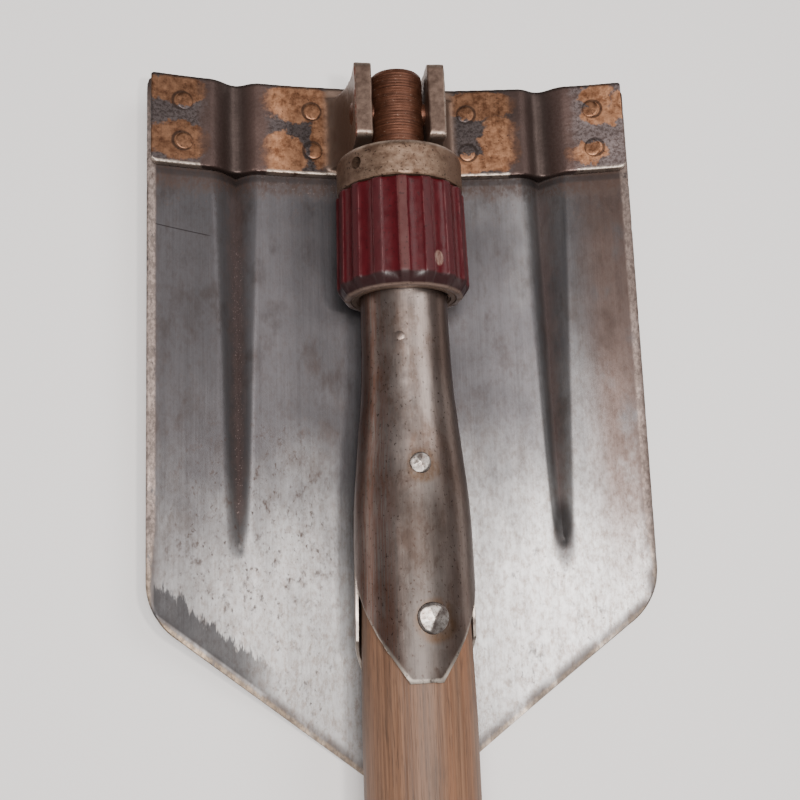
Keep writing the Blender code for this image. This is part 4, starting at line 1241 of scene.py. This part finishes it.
def make_stage():
    bm = bmesh.new()
    bmesh.ops.create_grid(bm, x_segments=1, y_segments=1, size=3.0)
    mesh = bpy.data.meshes.new("floor")
    bm.to_mesh(mesh)
    bm.free()
    floor = bpy.data.objects.new("floor", mesh)
    floor.location = (0.0, 0.0, -0.0005)
    bpy.context.scene.collection.objects.link(floor)
    material = bpy.data.materials.new("floor_paint")
    material.use_nodes = True
    shader = material.node_tree.nodes["Principled BSDF"]
    shader.inputs["Base Color"].default_value = (0.90, 0.875, 0.86, 1.0)
    shader.inputs["Roughness"].default_value = 0.9
    shader.inputs["Specular IOR Level"].default_value = 0.1
    mesh.materials.append(material)


def add_light(name, location, target, size, power, colour=(1.0, 1.0, 1.0)):
    light = bpy.data.lights.new(name, "AREA")
    light.shape = "SQUARE"
    light.size = size
    light.energy = power
    light.color = colour
    made = bpy.data.objects.new(name, light)
    made.location = location
    made.rotation_euler = (Vector(target) - Vector(location)).to_track_quat("-Z", "Y").to_euler()
    bpy.context.scene.collection.objects.link(made)


def make_lights():
    warm = (1.0, 0.975, 0.955)
    add_light("overhead_softbox", (-0.12, 0.02, 1.30), (0.0, 0.10, 0.0), 0.55, 19.0, warm)
    add_light("right_softbox", (0.95, 0.65, 1.30), (0.0, 0.10, 0.0), 0.8, 9.0, warm)
    add_light("near_lamp", (0.035, 0.125, 0.38), (0.0, 0.10, 0.0), 0.03, 0.55, (1.0, 0.96, 0.92))
    world = bpy.data.worlds.new("soft_room")
    world.use_nodes = True
    sky = world.node_tree.nodes["Background"]
    sky.inputs["Color"].default_value = (0.97, 0.96, 1.0, 1.0)
    sky.inputs["Strength"].default_value = 0.22
    bpy.context.scene.world = world


def make_camera():
    data = bpy.data.cameras.new("camera")
    data.lens = 54.0
    data.sensor_width = 36.0
    camera = bpy.data.objects.new("camera", data)
    camera.location = (-0.0471, 0.0867, 0.3603)
    camera.rotation_euler = [math.radians(turn) for turn in (11.449, -7.181, -2.136)]
    bpy.context.scene.collection.objects.link(camera)
    bpy.context.scene.camera = camera


def dress(obj, material, body, slot, *nodes):
    """Give a piece its material and its body, and hide the CAD nodes it stands for. The slot argument is
    not used.
    """
    obj.data.materials.clear()
    obj.data.materials.append(material)
    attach(obj, body)
    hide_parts(*nodes)


def main():
    blade_metal = blade_steel()
    plate_metal = plate_steel()
    flush_metal = plate_steel(False)
    stud_metal = stud_steel()
    collar_metal = collar_steel()
    shell_metal = socket_steel()
    washer_metal = socket_steel(False)
    rivet_metal = rivet_steel()
    dress(make_blade(), blade_metal, "blade", "blade_steel", "blade")
    dress(make_plate(), plate_metal, "blade", "plate_steel", "hinge_plate")
    for number, rivet in enumerate(make_blade_rivets(), 1):
        dress(rivet, flush_metal, "blade", "plate_steel", f"blade_rivet_{number}")
    dress(make_pin(), stud_metal, "blade", "hinge_steel", "hinge_pin")
    dress(make_stud(), stud_metal, "handle", "hinge_steel", "hinge_stud")
    dress(make_cross_pin(), washer_metal, "handle", "hinge_steel", "stud_cross_pin")
    dress(make_collar(), collar_metal, "nut", "collar_steel", "nut_core")
    dress(make_sleeve(), red_plastic(), "nut", "red_plastic", "nut_sleeve")
    dress(make_ring(), collar_metal, "nut_ring", "collar_steel", "nut_retaining_ring")
    front = make_socket_half("socket_front_pressed", 0.0, FRONT_TONGUE)
    rear = make_socket_half("socket_rear_pressed", math.pi, REAR_TONGUE)
    dress(front, shell_metal, "handle", "socket_steel", "socket_front")
    dress(rear, shell_metal, "handle", "socket_steel", "socket_rear")
    for name, rivet in SOCKET_RIVETS.items():
        head = make_socket_rivet(name, rivet)
        dress(head, rivet_metal, "handle", "rivet_steel", f"socket_rivet_{name}")
        washer = make_washer(name, rivet)
        dress(washer, washer_metal, "handle", "socket_steel", f"rivet_washer_{name}")
    dress(make_handle(), handle_wood(), "handle", "wood", "handle")
    make_stage()
    make_lights()
    make_camera()


main()
